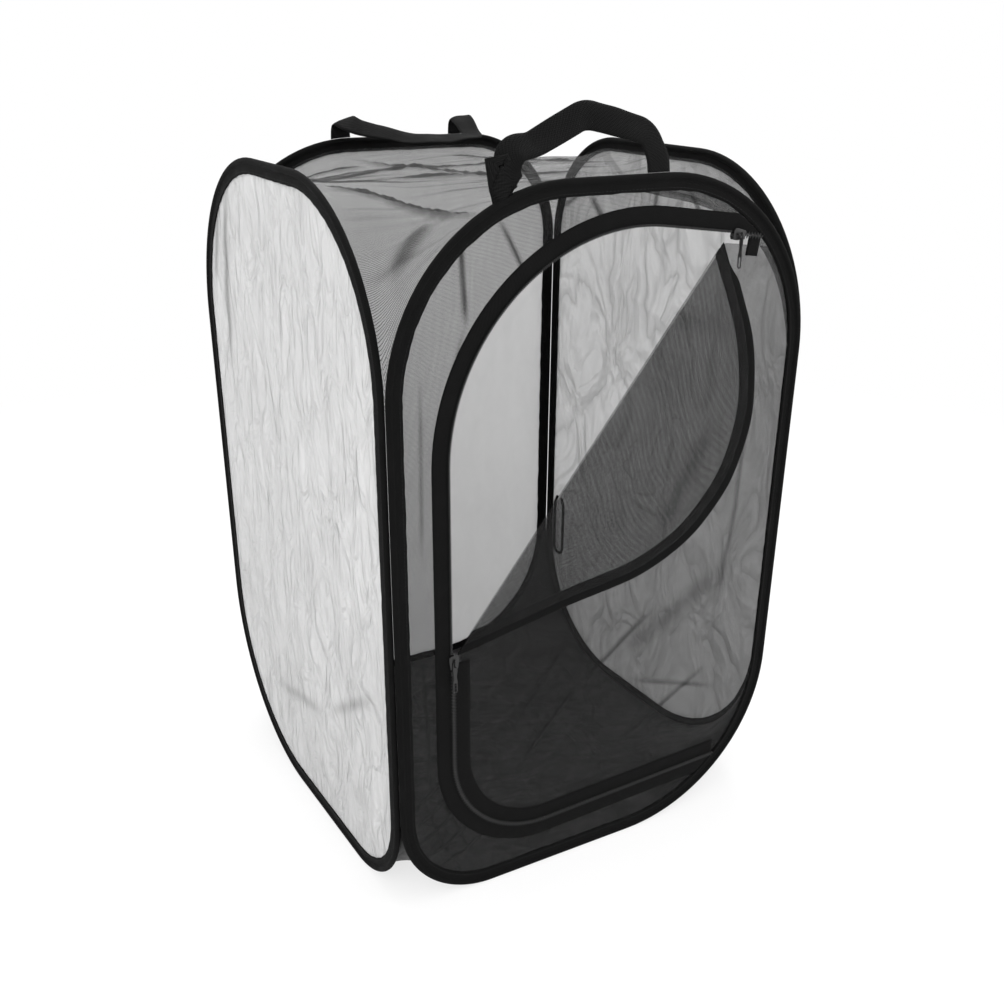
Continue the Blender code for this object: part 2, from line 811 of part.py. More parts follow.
binding_reach = binding_width - sleeve_radius
tie_x = side_hoop_width / 2 - binding_reach - tie_post_gap - tie_cord_radius - tie_loop_width / 2
tie_layer = cloth_thickness / 2 + seam_gap + tie_cord_radius
tie = poly_curve("tie_loop", [tie_points()], cyclic=False)
tie.bevel_depth = tie_cord_radius
tie.bevel_resolution = 1
tie.use_fill_caps = True
add_object("tie_loop", tie, "webbing", right_wall, (tie_x, tie_height, -tie_layer))


# Roof net between the hoops' upper edges, and floor cloth between their lower edges
def roof_height(x, y):
    if abs(abs(y) - rim_y) < abs(abs(x) - rim_x):
        radii = (top_radii[0], top_radii[1]) if y < 0 else (top_radii[3], top_radii[2])
        drop = hoop_edge(x, front_hoop_width, radii, roof_seam_depth)
    else:
        radii = (top_radii[0], top_radii[3]) if x < 0 else (top_radii[1], top_radii[2])
        drop = hoop_edge(y, side_hoop_width, radii, roof_seam_depth)
    return cage_height - sleeve_radius - drop


rim_x = side_plane - sleeve_radius - seam_gap - cloth_thickness
rim_y = front_plane - sleeve_radius - seam_gap - cloth_thickness
roof = relaxed_sheet(2 * rim_x, 2 * rim_y, roof_height, roof_sag / sheet_cells ** 2, 0)
roof_pivot = add_empty("roof_pivot", location=post_front_left)
sheet_mesh("roof_net", *roof, cloth_thickness, "net", roof_pivot, -post_front_left)


def floor_height(x, y):
    if abs(abs(y) - rim_y) < abs(abs(x) - rim_x):
        radii = (bottom_radii[0], bottom_radii[1]) if y < 0 else (bottom_radii[3], bottom_radii[2])
        rise = hoop_edge(x, front_hoop_width, radii, floor_seam_depth)
    else:
        radii = (bottom_radii[0], bottom_radii[3]) if x < 0 else (bottom_radii[1], bottom_radii[2])
        rise = hoop_edge(y, side_hoop_width, radii, floor_seam_depth)
    return sleeve_radius + rise


floor_pivot = add_empty("floor_pivot", location=post_front_left)
floor_rest = cloth_thickness / 2
floor = relaxed_sheet(2 * rim_x, 2 * rim_y, floor_height, floor_weight / sheet_cells ** 2, floor_rest)
sheet_mesh("floor_cloth", *floor, cloth_thickness, "floor_cloth", floor_pivot, -post_front_left)
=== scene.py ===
# Looks for a pop-up insect cage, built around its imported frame.
# Metres throughout. +Z is up, +Y runs from the door side to the back, +X is right seen from the door.
import math
import random

import bmesh
import bpy
import numpy as np
from mathutils import Matrix, Vector
from mathutils.geometry import delaunay_2d_cdt


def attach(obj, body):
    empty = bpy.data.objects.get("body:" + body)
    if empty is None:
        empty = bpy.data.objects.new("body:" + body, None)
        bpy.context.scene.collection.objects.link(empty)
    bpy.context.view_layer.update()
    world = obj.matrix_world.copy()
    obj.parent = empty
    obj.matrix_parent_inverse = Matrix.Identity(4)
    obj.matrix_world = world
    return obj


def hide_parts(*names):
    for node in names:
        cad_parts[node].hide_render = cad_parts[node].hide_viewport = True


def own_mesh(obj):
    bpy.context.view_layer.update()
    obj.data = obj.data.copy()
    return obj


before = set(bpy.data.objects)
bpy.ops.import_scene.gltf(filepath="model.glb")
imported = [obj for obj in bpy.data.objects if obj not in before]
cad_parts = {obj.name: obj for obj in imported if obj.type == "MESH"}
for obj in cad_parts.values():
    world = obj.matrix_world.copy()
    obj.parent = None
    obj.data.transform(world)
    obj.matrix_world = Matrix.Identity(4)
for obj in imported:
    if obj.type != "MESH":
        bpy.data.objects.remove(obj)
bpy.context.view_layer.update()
scene = bpy.context.scene
print("frame loaded:", len(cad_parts), "nodes")

# Sizes of the cage that the looks share with its frame
cage = {
    "half": 0.1973,            # from the middle to the plane of each wall
    "hoopWidth": 0.3861147,
    "sleeve": 0.0027,
    "hoopHeight": 0.5946,
    "bottomRadii": (0.085, 0.150, 0.140, 0.160),
    "topRadii": (0.148, 0.150, 0.105, 0.150),
    "seamDepth": 0.0055,
    "arcSteps": 26,
}
hoopTop = cage["sleeve"] + cage["hoopHeight"]

# Each wall has its own x to the right and an out direction, as seen from outside
wallFrames = {
    "front": {"x": (1, 0, 0), "out": (0, -1, 0), "posts": (0, 1), "body": "front_frame"},
    "right": {"x": (0, 1, 0), "out": (1, 0, 0), "posts": (1, 2), "body": "right_wall"},
    "back": {"x": (-1, 0, 0), "out": (0, 1, 0), "posts": (2, 3), "body": "back_wall"},
    "left": {"x": (0, -1, 0), "out": (-1, 0, 0), "posts": (3, 0), "body": "left_wall"},
}


def wallRadii(side):
    first, second = wallFrames[side]["posts"]
    low, high = cage["bottomRadii"], cage["topRadii"]
    return np.array([low[first], low[second], high[second], high[first]])


# World points for places on a wall
def onWall(side, x, y, out):
    wall = wallFrames[side]
    x, y, out = np.broadcast_arrays(np.asarray(x, float), np.asarray(y, float), np.asarray(out, float))
    across, outward = np.array(wall["x"], float), np.array(wall["out"], float)
    up = np.array([0, 0, 1.0])
    return x[..., None] * across + y[..., None] * up + (out[..., None] + cage["half"]) * outward


# Flat geometry, all as numpy arrays of points
def arcPoints(centre, radius, start, end, steps):
    turns = np.linspace(start, end, steps + 1)
    return np.stack([centre[0] + radius * np.cos(turns), centre[1] + radius * np.sin(turns)], 1)


def roundedOutline(width, low, high, radii, steps):
    half = width / 2
    corners = (
        ((-half, low), (1, 1)), ((half, low), (-1, 1)), ((half, high), (-1, -1)), ((-half, high), (1, -1)),
    )
    parts = []
    for index, ((corner, inward), radius) in enumerate(zip(corners, radii)):
        centre = (corner[0] + inward[0] * radius, corner[1] + inward[1] * radius)
        start = math.pi + index * math.pi / 2
        parts.append(arcPoints(centre, radius, start, start + math.pi / 2, steps))
    return np.concatenate(parts)


def hoopOutline(side, inset=0.0):
    width, low, high = cage["hoopWidth"] - 2 * inset, cage["sleeve"] + inset, hoopTop - inset
    return roundedOutline(width, low, high, wallRadii(side) - inset, cage["arcSteps"])


def filletedPath(corners, radii, steps):
    points = [np.array(corners[0])]
    for before, corner, after, radius in zip(corners, corners[1:], corners[2:], radii):
        corner = np.array(corner)
        inward = np.array(before) - corner
        outward = np.array(after) - corner
        inward /= np.linalg.norm(inward)
        outward /= np.linalg.norm(outward)
        half = math.acos(inward @ outward) / 2
        middle = inward + outward
        centre = corner + middle / np.linalg.norm(middle) * radius / math.sin(half)
        first = corner + inward * radius / math.tan(half) - centre
        turn = math.copysign(math.pi - 2 * half, outward[0] * inward[1] - outward[1] * inward[0])
        for step in range(steps + 1):
            angle = turn * step / steps
            spin = np.array([[math.cos(angle), -math.sin(angle)], [math.sin(angle), math.cos(angle)]])
            points.append(centre + spin @ first)
    points.append(np.array(corners[-1]))
    return np.array(points)


# Evenly spaced points, their unit tangents and their distances
def alongPath(points, spacing, closed=False):
    line = np.vstack([points, points[:1]]) if closed else np.asarray(points, float)
    steps = np.linalg.norm(np.diff(line, axis=0), axis=1)
    keep = np.concatenate([[True], steps > 1e-9])
    line = line[keep]
    walked = np.concatenate([[0], np.cumsum(steps[steps > 1e-9])])
    count = max(int(round(walked[-1] / spacing)), 2)
    distances = np.linspace(0, walked[-1], count + 1)
    if closed:
        distances = distances[:-1]
    spaced = np.stack([np.interp(distances, walked, line[:, k]) for k in range(line.shape[1])], 1)
    if closed:
        tangents = np.roll(spaced, -1, 0) - np.roll(spaced, 1, 0)
    else:
        tangents = np.gradient(spaced, axis=0)
    return spaced, tangents / np.linalg.norm(tangents, axis=1)[:, None], distances


# To the right of the path as it runs, where the distance is positive
def sideways(points, tangents, distance):
    right = np.stack([tangents[:, 1], -tangents[:, 0]], 1)
    return points + right * np.asarray(distance, float).reshape(-1, 1)


def inside(outline, points):
    x, y = points[:, 0], points[:, 1]
    found = np.zeros(len(points), bool)
    for (x1, y1), (x2, y2) in zip(outline, np.roll(outline, -1, 0)):
        crosses = (y1 > y) != (y2 > y)
        with np.errstate(divide="ignore", invalid="ignore"):
            found ^= crosses & (x < (x2 - x1) * (y - y1) / (y2 - y1) + x1)
    return found


def distanceToPath(points, path):
    nearest = np.full(len(points), 1e9)
    for a, b in zip(path, path[1:]):
        run = b - a
        share = np.clip(((points - a) @ run) / max(run @ run, 1e-12), 0, 1)
        nearest = np.minimum(nearest, np.linalg.norm(points - a - share[:, None] * run, axis=1))
    return nearest


def smooth(value):
    value = np.clip(value, 0, 1)
    return value * value * (3 - 2 * value)


# Smooth uneven noise of about -1 to 1, with its own wavelength each way
def ripple(x, y, waveX, waveY, seed, count=7):
    dice = random.Random(seed)
    total = np.zeros(np.broadcast(x, y).shape)
    for _ in range(count):
        stretch, turn, phase = dice.uniform(0.6, 1.7), dice.uniform(-0.5, 0.5), dice.uniform(0, 2 * math.pi)
        total += np.sin(2 * math.pi * (x / waveX + turn * y / waveY) * stretch + phase)
        total += np.sin(2 * math.pi * (y / waveY + turn * x / waveX) * stretch + 2 * phase)
    return total / count


# A ridge along a line, fading out at both ends
def crease(x, y, start, end, width, height):
    start, end = np.array(start, float), np.array(end, float)
    run = end - start
    length = np.linalg.norm(run)
    run /= length
    along = (x - start[0]) * run[0] + (y - start[1]) * run[1]
    off = (x - start[0]) * run[1] - (y - start[1]) * run[0]
    fade = smooth(along / (0.3 * length)) * smooth((length - along) / (0.3 * length))
    return height * fade * np.exp(-((off / width) ** 2))


# Sum of narrow bands along creases, each with a start, an end, a half width and a share
def bunched(x, y, lines):
    total = np.zeros(np.shape(x))
    for start, end, wide, share in lines:
        total = total + crease(x, y, start, end, wide, share)
    return total


# Meshes
def newObject(name, data, material):
    obj = bpy.data.objects.new(name, data)
    scene.collection.objects.link(obj)
    data.materials.append(material)
    return obj


def meshObject(name, points, faces, material, uv=None, smoothShade=True):
    mesh = bpy.data.meshes.new(name)
    mesh.from_pydata([tuple(p) for p in points], [], faces)
    if uv is not None:
        layer = mesh.uv_layers.new(name="UVMap")
        corners = np.zeros(len(mesh.loops), int)
        mesh.loops.foreach_get("vertex_index", corners)
        layer.data.foreach_set("uv", np.asarray(uv, float)[corners].ravel())
    if smoothShade:
        mesh.shade_smooth()
    mesh.validate()
    return newObject(name, mesh, material)


# How bunched the mesh is at each point, 0 to 1, for its material: the nets grow denser there and the white
# cloth takes painted shade there; the door net also takes an even painted shade
def bunchAndShadeOn(obj, values):
    layer = obj.data.attributes.new("bunchAndShade", "FLOAT", "POINT")
    layer.data.foreach_set("value", np.clip(values, 0, 1).astype(np.float32))


# Attaches a piece to the body that carries it and hides the solid that it stands for
def seatPiece(piece, body, node):
    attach(piece, body)
    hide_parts(node)


def addThickness(obj, thickness):
    solid = obj.modifiers.new("cloth thickness", "SOLIDIFY")
    solid.thickness = thickness
    solid.offset = 0
    return obj


# A flat outline filled with small triangles
def cutSheet(outline, spacing):
    edge, _, _ = alongPath(outline, spacing, closed=True)
    low, high = edge.min(0), edge.max(0)
    rows = int((high[1] - low[1]) / (spacing * 0.87)) + 1
    grid = []
    for row in range(rows):
        xs = np.arange(low[0] + (row % 2) * spacing / 2, high[0], spacing)
        grid.append(np.stack([xs, np.full(len(xs), low[1] + row * spacing * 0.87)], 1))
    grid = np.concatenate(grid)
    grid = grid[inside(edge, grid)]
    grid = grid[distanceToPath(grid, np.vstack([edge, edge[:1]])) > spacing * 0.45]
    count = len(edge)
    sides = [(i, (i + 1) % count) for i in range(count)]
    every = np.concatenate([edge, grid])
    made = delaunay_2d_cdt([Vector(p) for p in every], sides, [], 1, 1e-7)
    points = np.array([tuple(v) for v in made[0]])
    faces = [tuple(f) for f in made[2]]
    return points, faces


# A closed band through rings of points. stations is rings x points x 3, uv runs in metres
def sweptStrip(name, stations, material, closed, sectionLength, lengthScale=1.0):
    rings, count, _ = stations.shape
    points = stations.reshape(-1, 3)
    faces = []
    last = rings if closed else rings - 1
    for ring in range(last):
        after = (ring + 1) % rings
        for k in range(count):
            nextK = (k + 1) % count
            faces.append((ring * count + k, ring * count + nextK, after * count + nextK, after * count + k))
    if not closed:
        faces.append(tuple(range(count))[::-1])
        faces.append(tuple((rings - 1) * count + k for k in range(count)))
    middles = stations.mean(1)
    walked = np.concatenate([[0], np.cumsum(np.linalg.norm(np.diff(middles, axis=0), axis=1))]) * lengthScale
    across = np.linspace(0, sectionLength, count)
    uv = np.stack([np.repeat(walked, count), np.tile(across, rings)], 1)
    obj = meshObject(name, points, faces, material, uv)
    shape = bmesh.new()
    shape.from_mesh(obj.data)
    bmesh.ops.recalc_face_normals(shape, faces=shape.faces)
    shape.to_mesh(obj.data)
    shape.free()
    return obj


# Materials
def newMaterial(name):
    material = bpy.data.materials.new(name)
    material.use_nodes = True
    material.node_tree.nodes.clear()
    return material, material.node_tree


# Shader nodes are asked for by their short name, other nodes by their whole one
def addNode(tree, kind, inputs=None, **settings):
    whole = kind.startswith(("GeometryNode", "FunctionNode", "NodeGroup"))
    node = tree.nodes.new(kind if whole else "ShaderNode" + kind)
    for key, value in settings.items():
        setattr(node, key, value)
    for key, value in (inputs or {}).items():
        if isinstance(value, bpy.types.NodeSocket):
            tree.links.new(value, node.inputs[key])
        else:
            node.inputs[key].default_value = value
    return node


def calculate(tree, operation, a, b=None, c=None):
    inputs = {0: a}
    if b is not None:
        inputs[1] = b
    if c is not None:
        inputs[2] = c
    return addNode(tree, "Math", inputs, operation=operation).outputs[0]


def stretchRange(tree, value, fromLow, fromHigh, toLow, toHigh):
    ends = {"Value": value, "From Min": fromLow, "From Max": fromHigh, "To Min": toLow, "To Max": toHigh}
    return addNode(tree, "MapRange", ends).outputs["Result"]


# The piece's own UV, in metres, as two sockets and a vector
def uvPlace(tree):
    place = addNode(tree, "UVMap", uv_map="UVMap").outputs["UV"]
    parts = addNode(tree, "SeparateXYZ", {"Vector": place})
    return parts.outputs["X"], parts.outputs["Y"], place


def objectPlace(tree):
    return addNode(tree, "TexCoord").outputs["Object"]


def noiseAt(tree, place, scale, detail=3.0, roughness=0.55, distortion=0.0):
    inputs = {
        "Vector": place, "Scale": scale, "Detail": detail, "Roughness": roughness, "Distortion": distortion,
    }
    return addNode(tree, "TexNoise", inputs).outputs["Fac"]


def mixColour(tree, share, first, second):
    node = addNode(tree, "Mix", data_type="RGBA")
    for index, value in ((0, share), (6, first), (7, second)):
        if isinstance(value, bpy.types.NodeSocket):
            tree.links.new(value, node.inputs[index])
        else:
            node.inputs[index].default_value = value
    return node.outputs[2]


def bumpFrom(tree, height, distance, strength=1.0, below=None):
    inputs = {"Height": height, "Distance": distance, "Strength": strength}
    if below is not None:
        inputs["Normal"] = below
    return addNode(tree, "Bump", inputs).outputs["Normal"]


def finishMaterial(tree, shader):
    addNode(tree, "OutputMaterial", {"Surface": shader})


def grey(level):
    return (level, level, level, 1.0)


# Sine of one direction of threads, -1 to 1
def weaveLines(tree, place, pitch):
    return calculate(tree, "SINE", calculate(tree, "MULTIPLY", place, 2 * math.pi / pitch))


# Tape and webbing: threads across and along, with slight wear
def wovenMaterial(name, looks):
    material, tree = newMaterial(name)
    u, v, place = uvPlace(tree)
    along = weaveLines(tree, u, looks["alongPitch"])
    leaning = calculate(tree, "MULTIPLY_ADD", v, looks["lean"], u)
    twill = weaveLines(tree, leaning, looks["twillPitch"])
    across = weaveLines(tree, v, looks["acrossPitch"])
    slant = calculate(tree, "MULTIPLY", twill, looks["twillShare"])
    threads = calculate(tree, "MULTIPLY_ADD", along, across, slant)
    wear = noiseAt(tree, place, looks["wearScale"])
    tone = stretchRange(tree, threads, -1.6, 1.6, 0.0, 1.0)
    base = mixColour(tree, tone, grey(looks["dark"]), grey(looks["light"]))
    worn = stretchRange(tree, wear, 0.45, 0.75, 0.0, looks["wearShare"])
    base = mixColour(tree, worn, base, grey(looks["wornTone"]))
    normal = bumpFrom(tree, threads, looks["relief"], looks["reliefStrength"])
    rough = stretchRange(tree, wear, 0.3, 0.7, looks["roughLow"], looks["roughHigh"])
    shader = addNode(
        tree,
        "BsdfPrincipled",
        {
            "Base Color": base,
            "Roughness": rough,
            "Normal": normal,
            "Sheen Weight": looks["sheen"],
            "Sheen Roughness": 0.5,
            "Specular IOR Level": 0.05,
        },
    )
    finishMaterial(tree, shader.outputs["BSDF"])
    return material


tapeLooks = {
    "alongPitch": 0.0011, "acrossPitch": 0.0009, "lean": 1.0, "twillPitch": 0.0016, "twillShare": 0.5,
    "wearScale": 55.0, "wearShare": 0.5, "dark": 0.0012, "light": 0.0070, "wornTone": 0.0090,
    "relief": 0.00018, "reliefStrength": 0.6, "roughLow": 0.62, "roughHigh": 0.85, "sheen": 0.01,
}
bindingTape = wovenMaterial("bindingTape", tapeLooks)
zipTape = wovenMaterial(
    "zipTape", {**tapeLooks, "alongPitch": 0.0007, "acrossPitch": 0.0010, "twillShare": 0.9, "light": 0.008}
)
webbing = wovenMaterial(
    "webbing",
    {**tapeLooks, "alongPitch": 0.0022, "acrossPitch": 0.0016, "twillPitch": 0.0030, "relief": 0.0003,
     "light": 0.009, "sheen": 0.02},
)


# Fine mesh: threads both ways that let light through between them, denser where it is gathered and where
# painted shade is laid on
def netMaterial(name, looks):
    material, tree = newMaterial(name)
    u, v, place = uvPlace(tree)
    wander = noiseAt(tree, place, 9.0, 2.0)
    uBent = calculate(tree, "MULTIPLY_ADD", wander, looks["wander"], u)
    first = calculate(tree, "ABSOLUTE", weaveLines(tree, uBent, looks["pitch"] * 2))
    second = calculate(tree, "ABSOLUTE", weaveLines(tree, v, looks["pitch"] * 2))
    nearest = calculate(tree, "MINIMUM", first, second)
    thread = stretchRange(tree, nearest, looks["threadShare"] * 0.6, looks["threadShare"] * 1.6, 1.0, 0.0)
    patch = noiseAt(tree, place, looks["patchScale"])
    bunchAndShadeLevel = addNode(tree, "Attribute", attribute_name="bunchAndShade").outputs["Fac"]
    cover = stretchRange(tree, patch, 0.35, 0.65, looks["coverLow"], looks["coverHigh"])
    alpha = calculate(tree, "MULTIPLY_ADD", thread, cover, looks["between"])
    # denser cover where the mesh is bunched, and where painted shade is laid on it
    alpha = calculate(tree, "MULTIPLY_ADD", bunchAndShadeLevel, looks["bunchAndShadeShare"], alpha)
    base = mixColour(tree, thread, grey(looks["dark"]), grey(looks["light"]))
    normal = bumpFrom(tree, thread, looks["relief"], 0.4)
    shader = addNode(
        tree,
        "BsdfPrincipled",
        {
            "Base Color": base,
            "Roughness": 0.6,
            "Normal": normal,
            "Specular IOR Level": 0.15,
            "Sheen Weight": looks["sheen"],
            "Sheen Roughness": 0.4,
            "Alpha": calculate(tree, "MINIMUM", alpha, 0.96),
        },
    )
    finishMaterial(tree, shader.outputs["BSDF"])
    return material


netLooks = {
    "pitch": 0.0009, "threadShare": 0.30, "wander": 0.0006, "patchScale": 6.0, "coverLow": 0.38,
    "coverHigh": 0.48, "between": 0.10, "dark": 0.008, "light": 0.020, "relief": 0.0001, "sheen": 0.06,
    "bunchAndShadeShare": 0.55,
}
blackNet = netMaterial("blackNet", netLooks)
roofNet = netMaterial("roofNet", {**netLooks, "coverHigh": 0.52})


# Thin woven cloth that lets some light through, with fine streaks and crumples, and painted shade along the
# streaks, the crumple ridges and the gathers
def clothMaterial(name, looks):
    material, tree = newMaterial(name)
    u, v, place = uvPlace(tree)
    warp, weft = weaveLines(tree, u, looks["pitch"]), weaveLines(tree, v, looks["pitch"])
    threads = calculate(tree, "MULTIPLY", warp, weft)
    patch = noiseAt(tree, place, looks["patchScale"], 4.0)
    streakPlace = addNode(tree, "Mapping", {"Vector": place, "Scale": looks["streakScale"]}).outputs["Vector"]
    streaks = noiseAt(tree, streakPlace, 1.0, 2.0, 0.5, 0.9)
    crumpleInputs = {"Vector": place, "Scale": looks["crumpleScale"]}
    crumplePlace = addNode(tree, "Mapping", crumpleInputs).outputs["Vector"]
    crumple = noiseAt(tree, crumplePlace, 1.0, 3.0, 0.5, 0.7)
    ridges = calculate(tree, "ABSOLUTE", calculate(tree, "MULTIPLY_ADD", crumple, 2.0, -1.0))
    ridges = stretchRange(tree, ridges, 0.0, 0.36, 0.0, 1.0)
    # painted pucker shade along the streaks, mixed with an uneven tone in patches
    tone = calculate(tree, "MULTIPLY_ADD", streaks, 0.5, calculate(tree, "MULTIPLY", patch, 0.5))
    tone = stretchRange(tree, tone, 0.35, 0.65, 0.0, 1.0)
    base = mixColour(tree, tone, grey(looks["dark"]), grey(looks["light"]))
    # painted crease shade along the crumple ridges
    line = stretchRange(tree, ridges, 0.0, 0.25, looks["creaseShadeShare"], 0.0)
    base = mixColour(tree, line, base, grey(looks["creaseShadeTone"]))
    # painted shade where the cloth is marked as gathered, toward a dark grey
    bunchAndShadeLevel = addNode(tree, "Attribute", attribute_name="bunchAndShade").outputs["Fac"]
    base = mixColour(tree, calculate(tree, "MINIMUM", bunchAndShadeLevel, 0.85), base, grey(looks["gatherShadeTone"]))
    lift = bumpFrom(tree, streaks, looks["streakRelief"], 0.7)
    folds = bumpFrom(tree, ridges, looks["crumpleRelief"], 0.8, lift)
    normal = bumpFrom(tree, threads, looks["relief"], 0.5, folds)
    shader = addNode(
        tree,
        "BsdfPrincipled",
        {
            "Base Color": base,
            "Roughness": looks["rough"],
            "Normal": normal,
            "Sheen Weight": looks["sheen"],
            "Sheen Roughness": 0.5,
            "Specular IOR Level": looks["shine"],
        },
    )
    surface = shader.outputs["BSDF"]
    if looks["through"]:
        behind = addNode(tree, "BsdfTranslucent", {"Color": base, "Normal": normal}).outputs["BSDF"]
        mix = addNode(tree, "MixShader", {"Fac": looks["through"], 1: surface, 2: behind}).outputs["Shader"]
        clear = addNode(tree, "BsdfTransparent").outputs["BSDF"]
        surface = addNode(tree, "MixShader", {"Fac": looks["clear"], 1: mix, 2: clear}).outputs["Shader"]
    finishMaterial(tree, surface)
    return material


# dark and light span the painted pucker shade; the crease and gather tones are painted shade
whiteLooks = {
    "pitch": 0.0009, "patchScale": 8.0, "streakScale": (95.0, 34.0, 1.0), "streakRelief": 0.0012,
    "dark": 0.74, "light": 0.84, "rough": 0.7, "sheen": 0.05, "relief": 0.00005, "through": 0.36,
    "clear": 0.12, "shine": 0.2, "crumpleScale": (46.0, 17.0, 1.0), "crumpleRelief": 0.0054,
    "creaseShadeShare": 0.07, "creaseShadeTone": 0.62, "gatherShadeTone": 0.12,
}
puckeredCloth = clothMaterial("puckeredCloth", whiteLooks)
# the back wall's cloth is paler than the other walls': painted light, for the light that this wall lacks
smoothClothPaintedLight = clothMaterial(
    "smoothClothPaintedLight",
    {**whiteLooks, "dark": 0.89, "light": 0.93, "streakScale": (60.0, 30.0, 1.0), "streakRelief": 0.0003,
     "crumpleScale": (9.0, 6.0, 1.0), "crumpleRelief": 0.0005, "creaseShadeShare": 0.03},
)
crumpledCloth = clothMaterial(
    "crumpledCloth",
    {**whiteLooks, "dark": 0.84, "light": 0.91, "streakScale": (60.0, 45.0, 1.0), "streakRelief": 0.0008,
     "crumpleScale": (19.0, 10.0, 1.0), "crumpleRelief": 0.0105, "creaseShadeShare": 0.24, "creaseShadeTone": 0.50},
)
# the floor cloth takes the same painted streak shade and painted crease shade, in its own dark tones
floorCoat = clothMaterial(
    "floorCoat",
    {**whiteLooks, "dark": 0.019, "light": 0.044, "gatherShadeTone": 0.004, "through": 0, "rough": 0.5,
     "pitch": 0.0012, "shine": 0.25, "streakScale": (60.0, 60.0, 1.0), "relief": 0.0001,
     "creaseShadeTone": 0.004, "creaseShadeShare": 0.5, "crumpleScale": (18.0, 18.0, 1.0), "crumpleRelief": 0.0022},
)


# Plastic or metal with uneven gloss and fine scratches
def hardMaterial(name, looks):
    material, tree = newMaterial(name)
    place = objectPlace(tree)
    spots = noiseAt(tree, place, looks["spotScale"], 4.0)
    marks = addNode(tree, "Mapping", {"Vector": place, "Scale": looks["markScale"]}).outputs["Vector"]
    scratches = noiseAt(tree, marks, 1.0, 5.0, 0.7)
    base = mixColour(tree, spots, looks["dark"], looks["light"])
    rough = stretchRange(tree, scratches, 0.3, 0.7, looks["roughLow"], looks["roughHigh"])
    normal = bumpFrom(tree, scratches, looks["relief"], 0.3)
    shader = addNode(
        tree,
        "BsdfPrincipled",
        {"Base Color": base, "Roughness": rough, "Normal": normal, "Metallic": looks["metal"]},
    )
    finishMaterial(tree, shader.outputs["BSDF"])
    return material


coilNylon = hardMaterial(
    "coilNylon",
    {"spotScale": 300.0, "markScale": (900.0, 900.0, 900.0), "dark": grey(0.004), "light": grey(0.012),
     "roughLow": 0.42, "roughHigh": 0.60, "relief": 0.00004, "metal": 0.0},
)
sliderEnamel = hardMaterial(
    "sliderEnamel",
    {"spotScale": 420.0, "markScale": (1500.0, 1500.0, 400.0), "dark": grey(0.006), "light": grey(0.016),
     "roughLow": 0.25, "roughHigh": 0.42, "relief": 0.00003, "metal": 0.0},
)
springWire = hardMaterial(
    "springWire",
    {"spotScale": 120.0, "markScale": (300.0, 300.0, 2500.0), "dark": (0.42, 0.43, 0.45, 1),
     "light": (0.62, 0.62, 0.63, 1), "roughLow": 0.22, "roughHigh": 0.40, "relief": 0.00003, "metal": 1.0},
)
ferruleMetal = hardMaterial(
    "ferruleMetal",
    {"spotScale": 200.0, "markScale": (1200.0, 1200.0, 1200.0), "dark": (0.50, 0.50, 0.49, 1),
     "light": (0.70, 0.69, 0.66, 1), "roughLow": 0.32, "roughHigh": 0.50, "relief": 0.00004, "metal": 1.0},
)
blackThread = wovenMaterial(
    "blackThread", {**tapeLooks, "alongPitch": 0.0006, "acrossPitch": 0.0005, "light": 0.020, "sheen": 0.1}
)
print("materials ready")


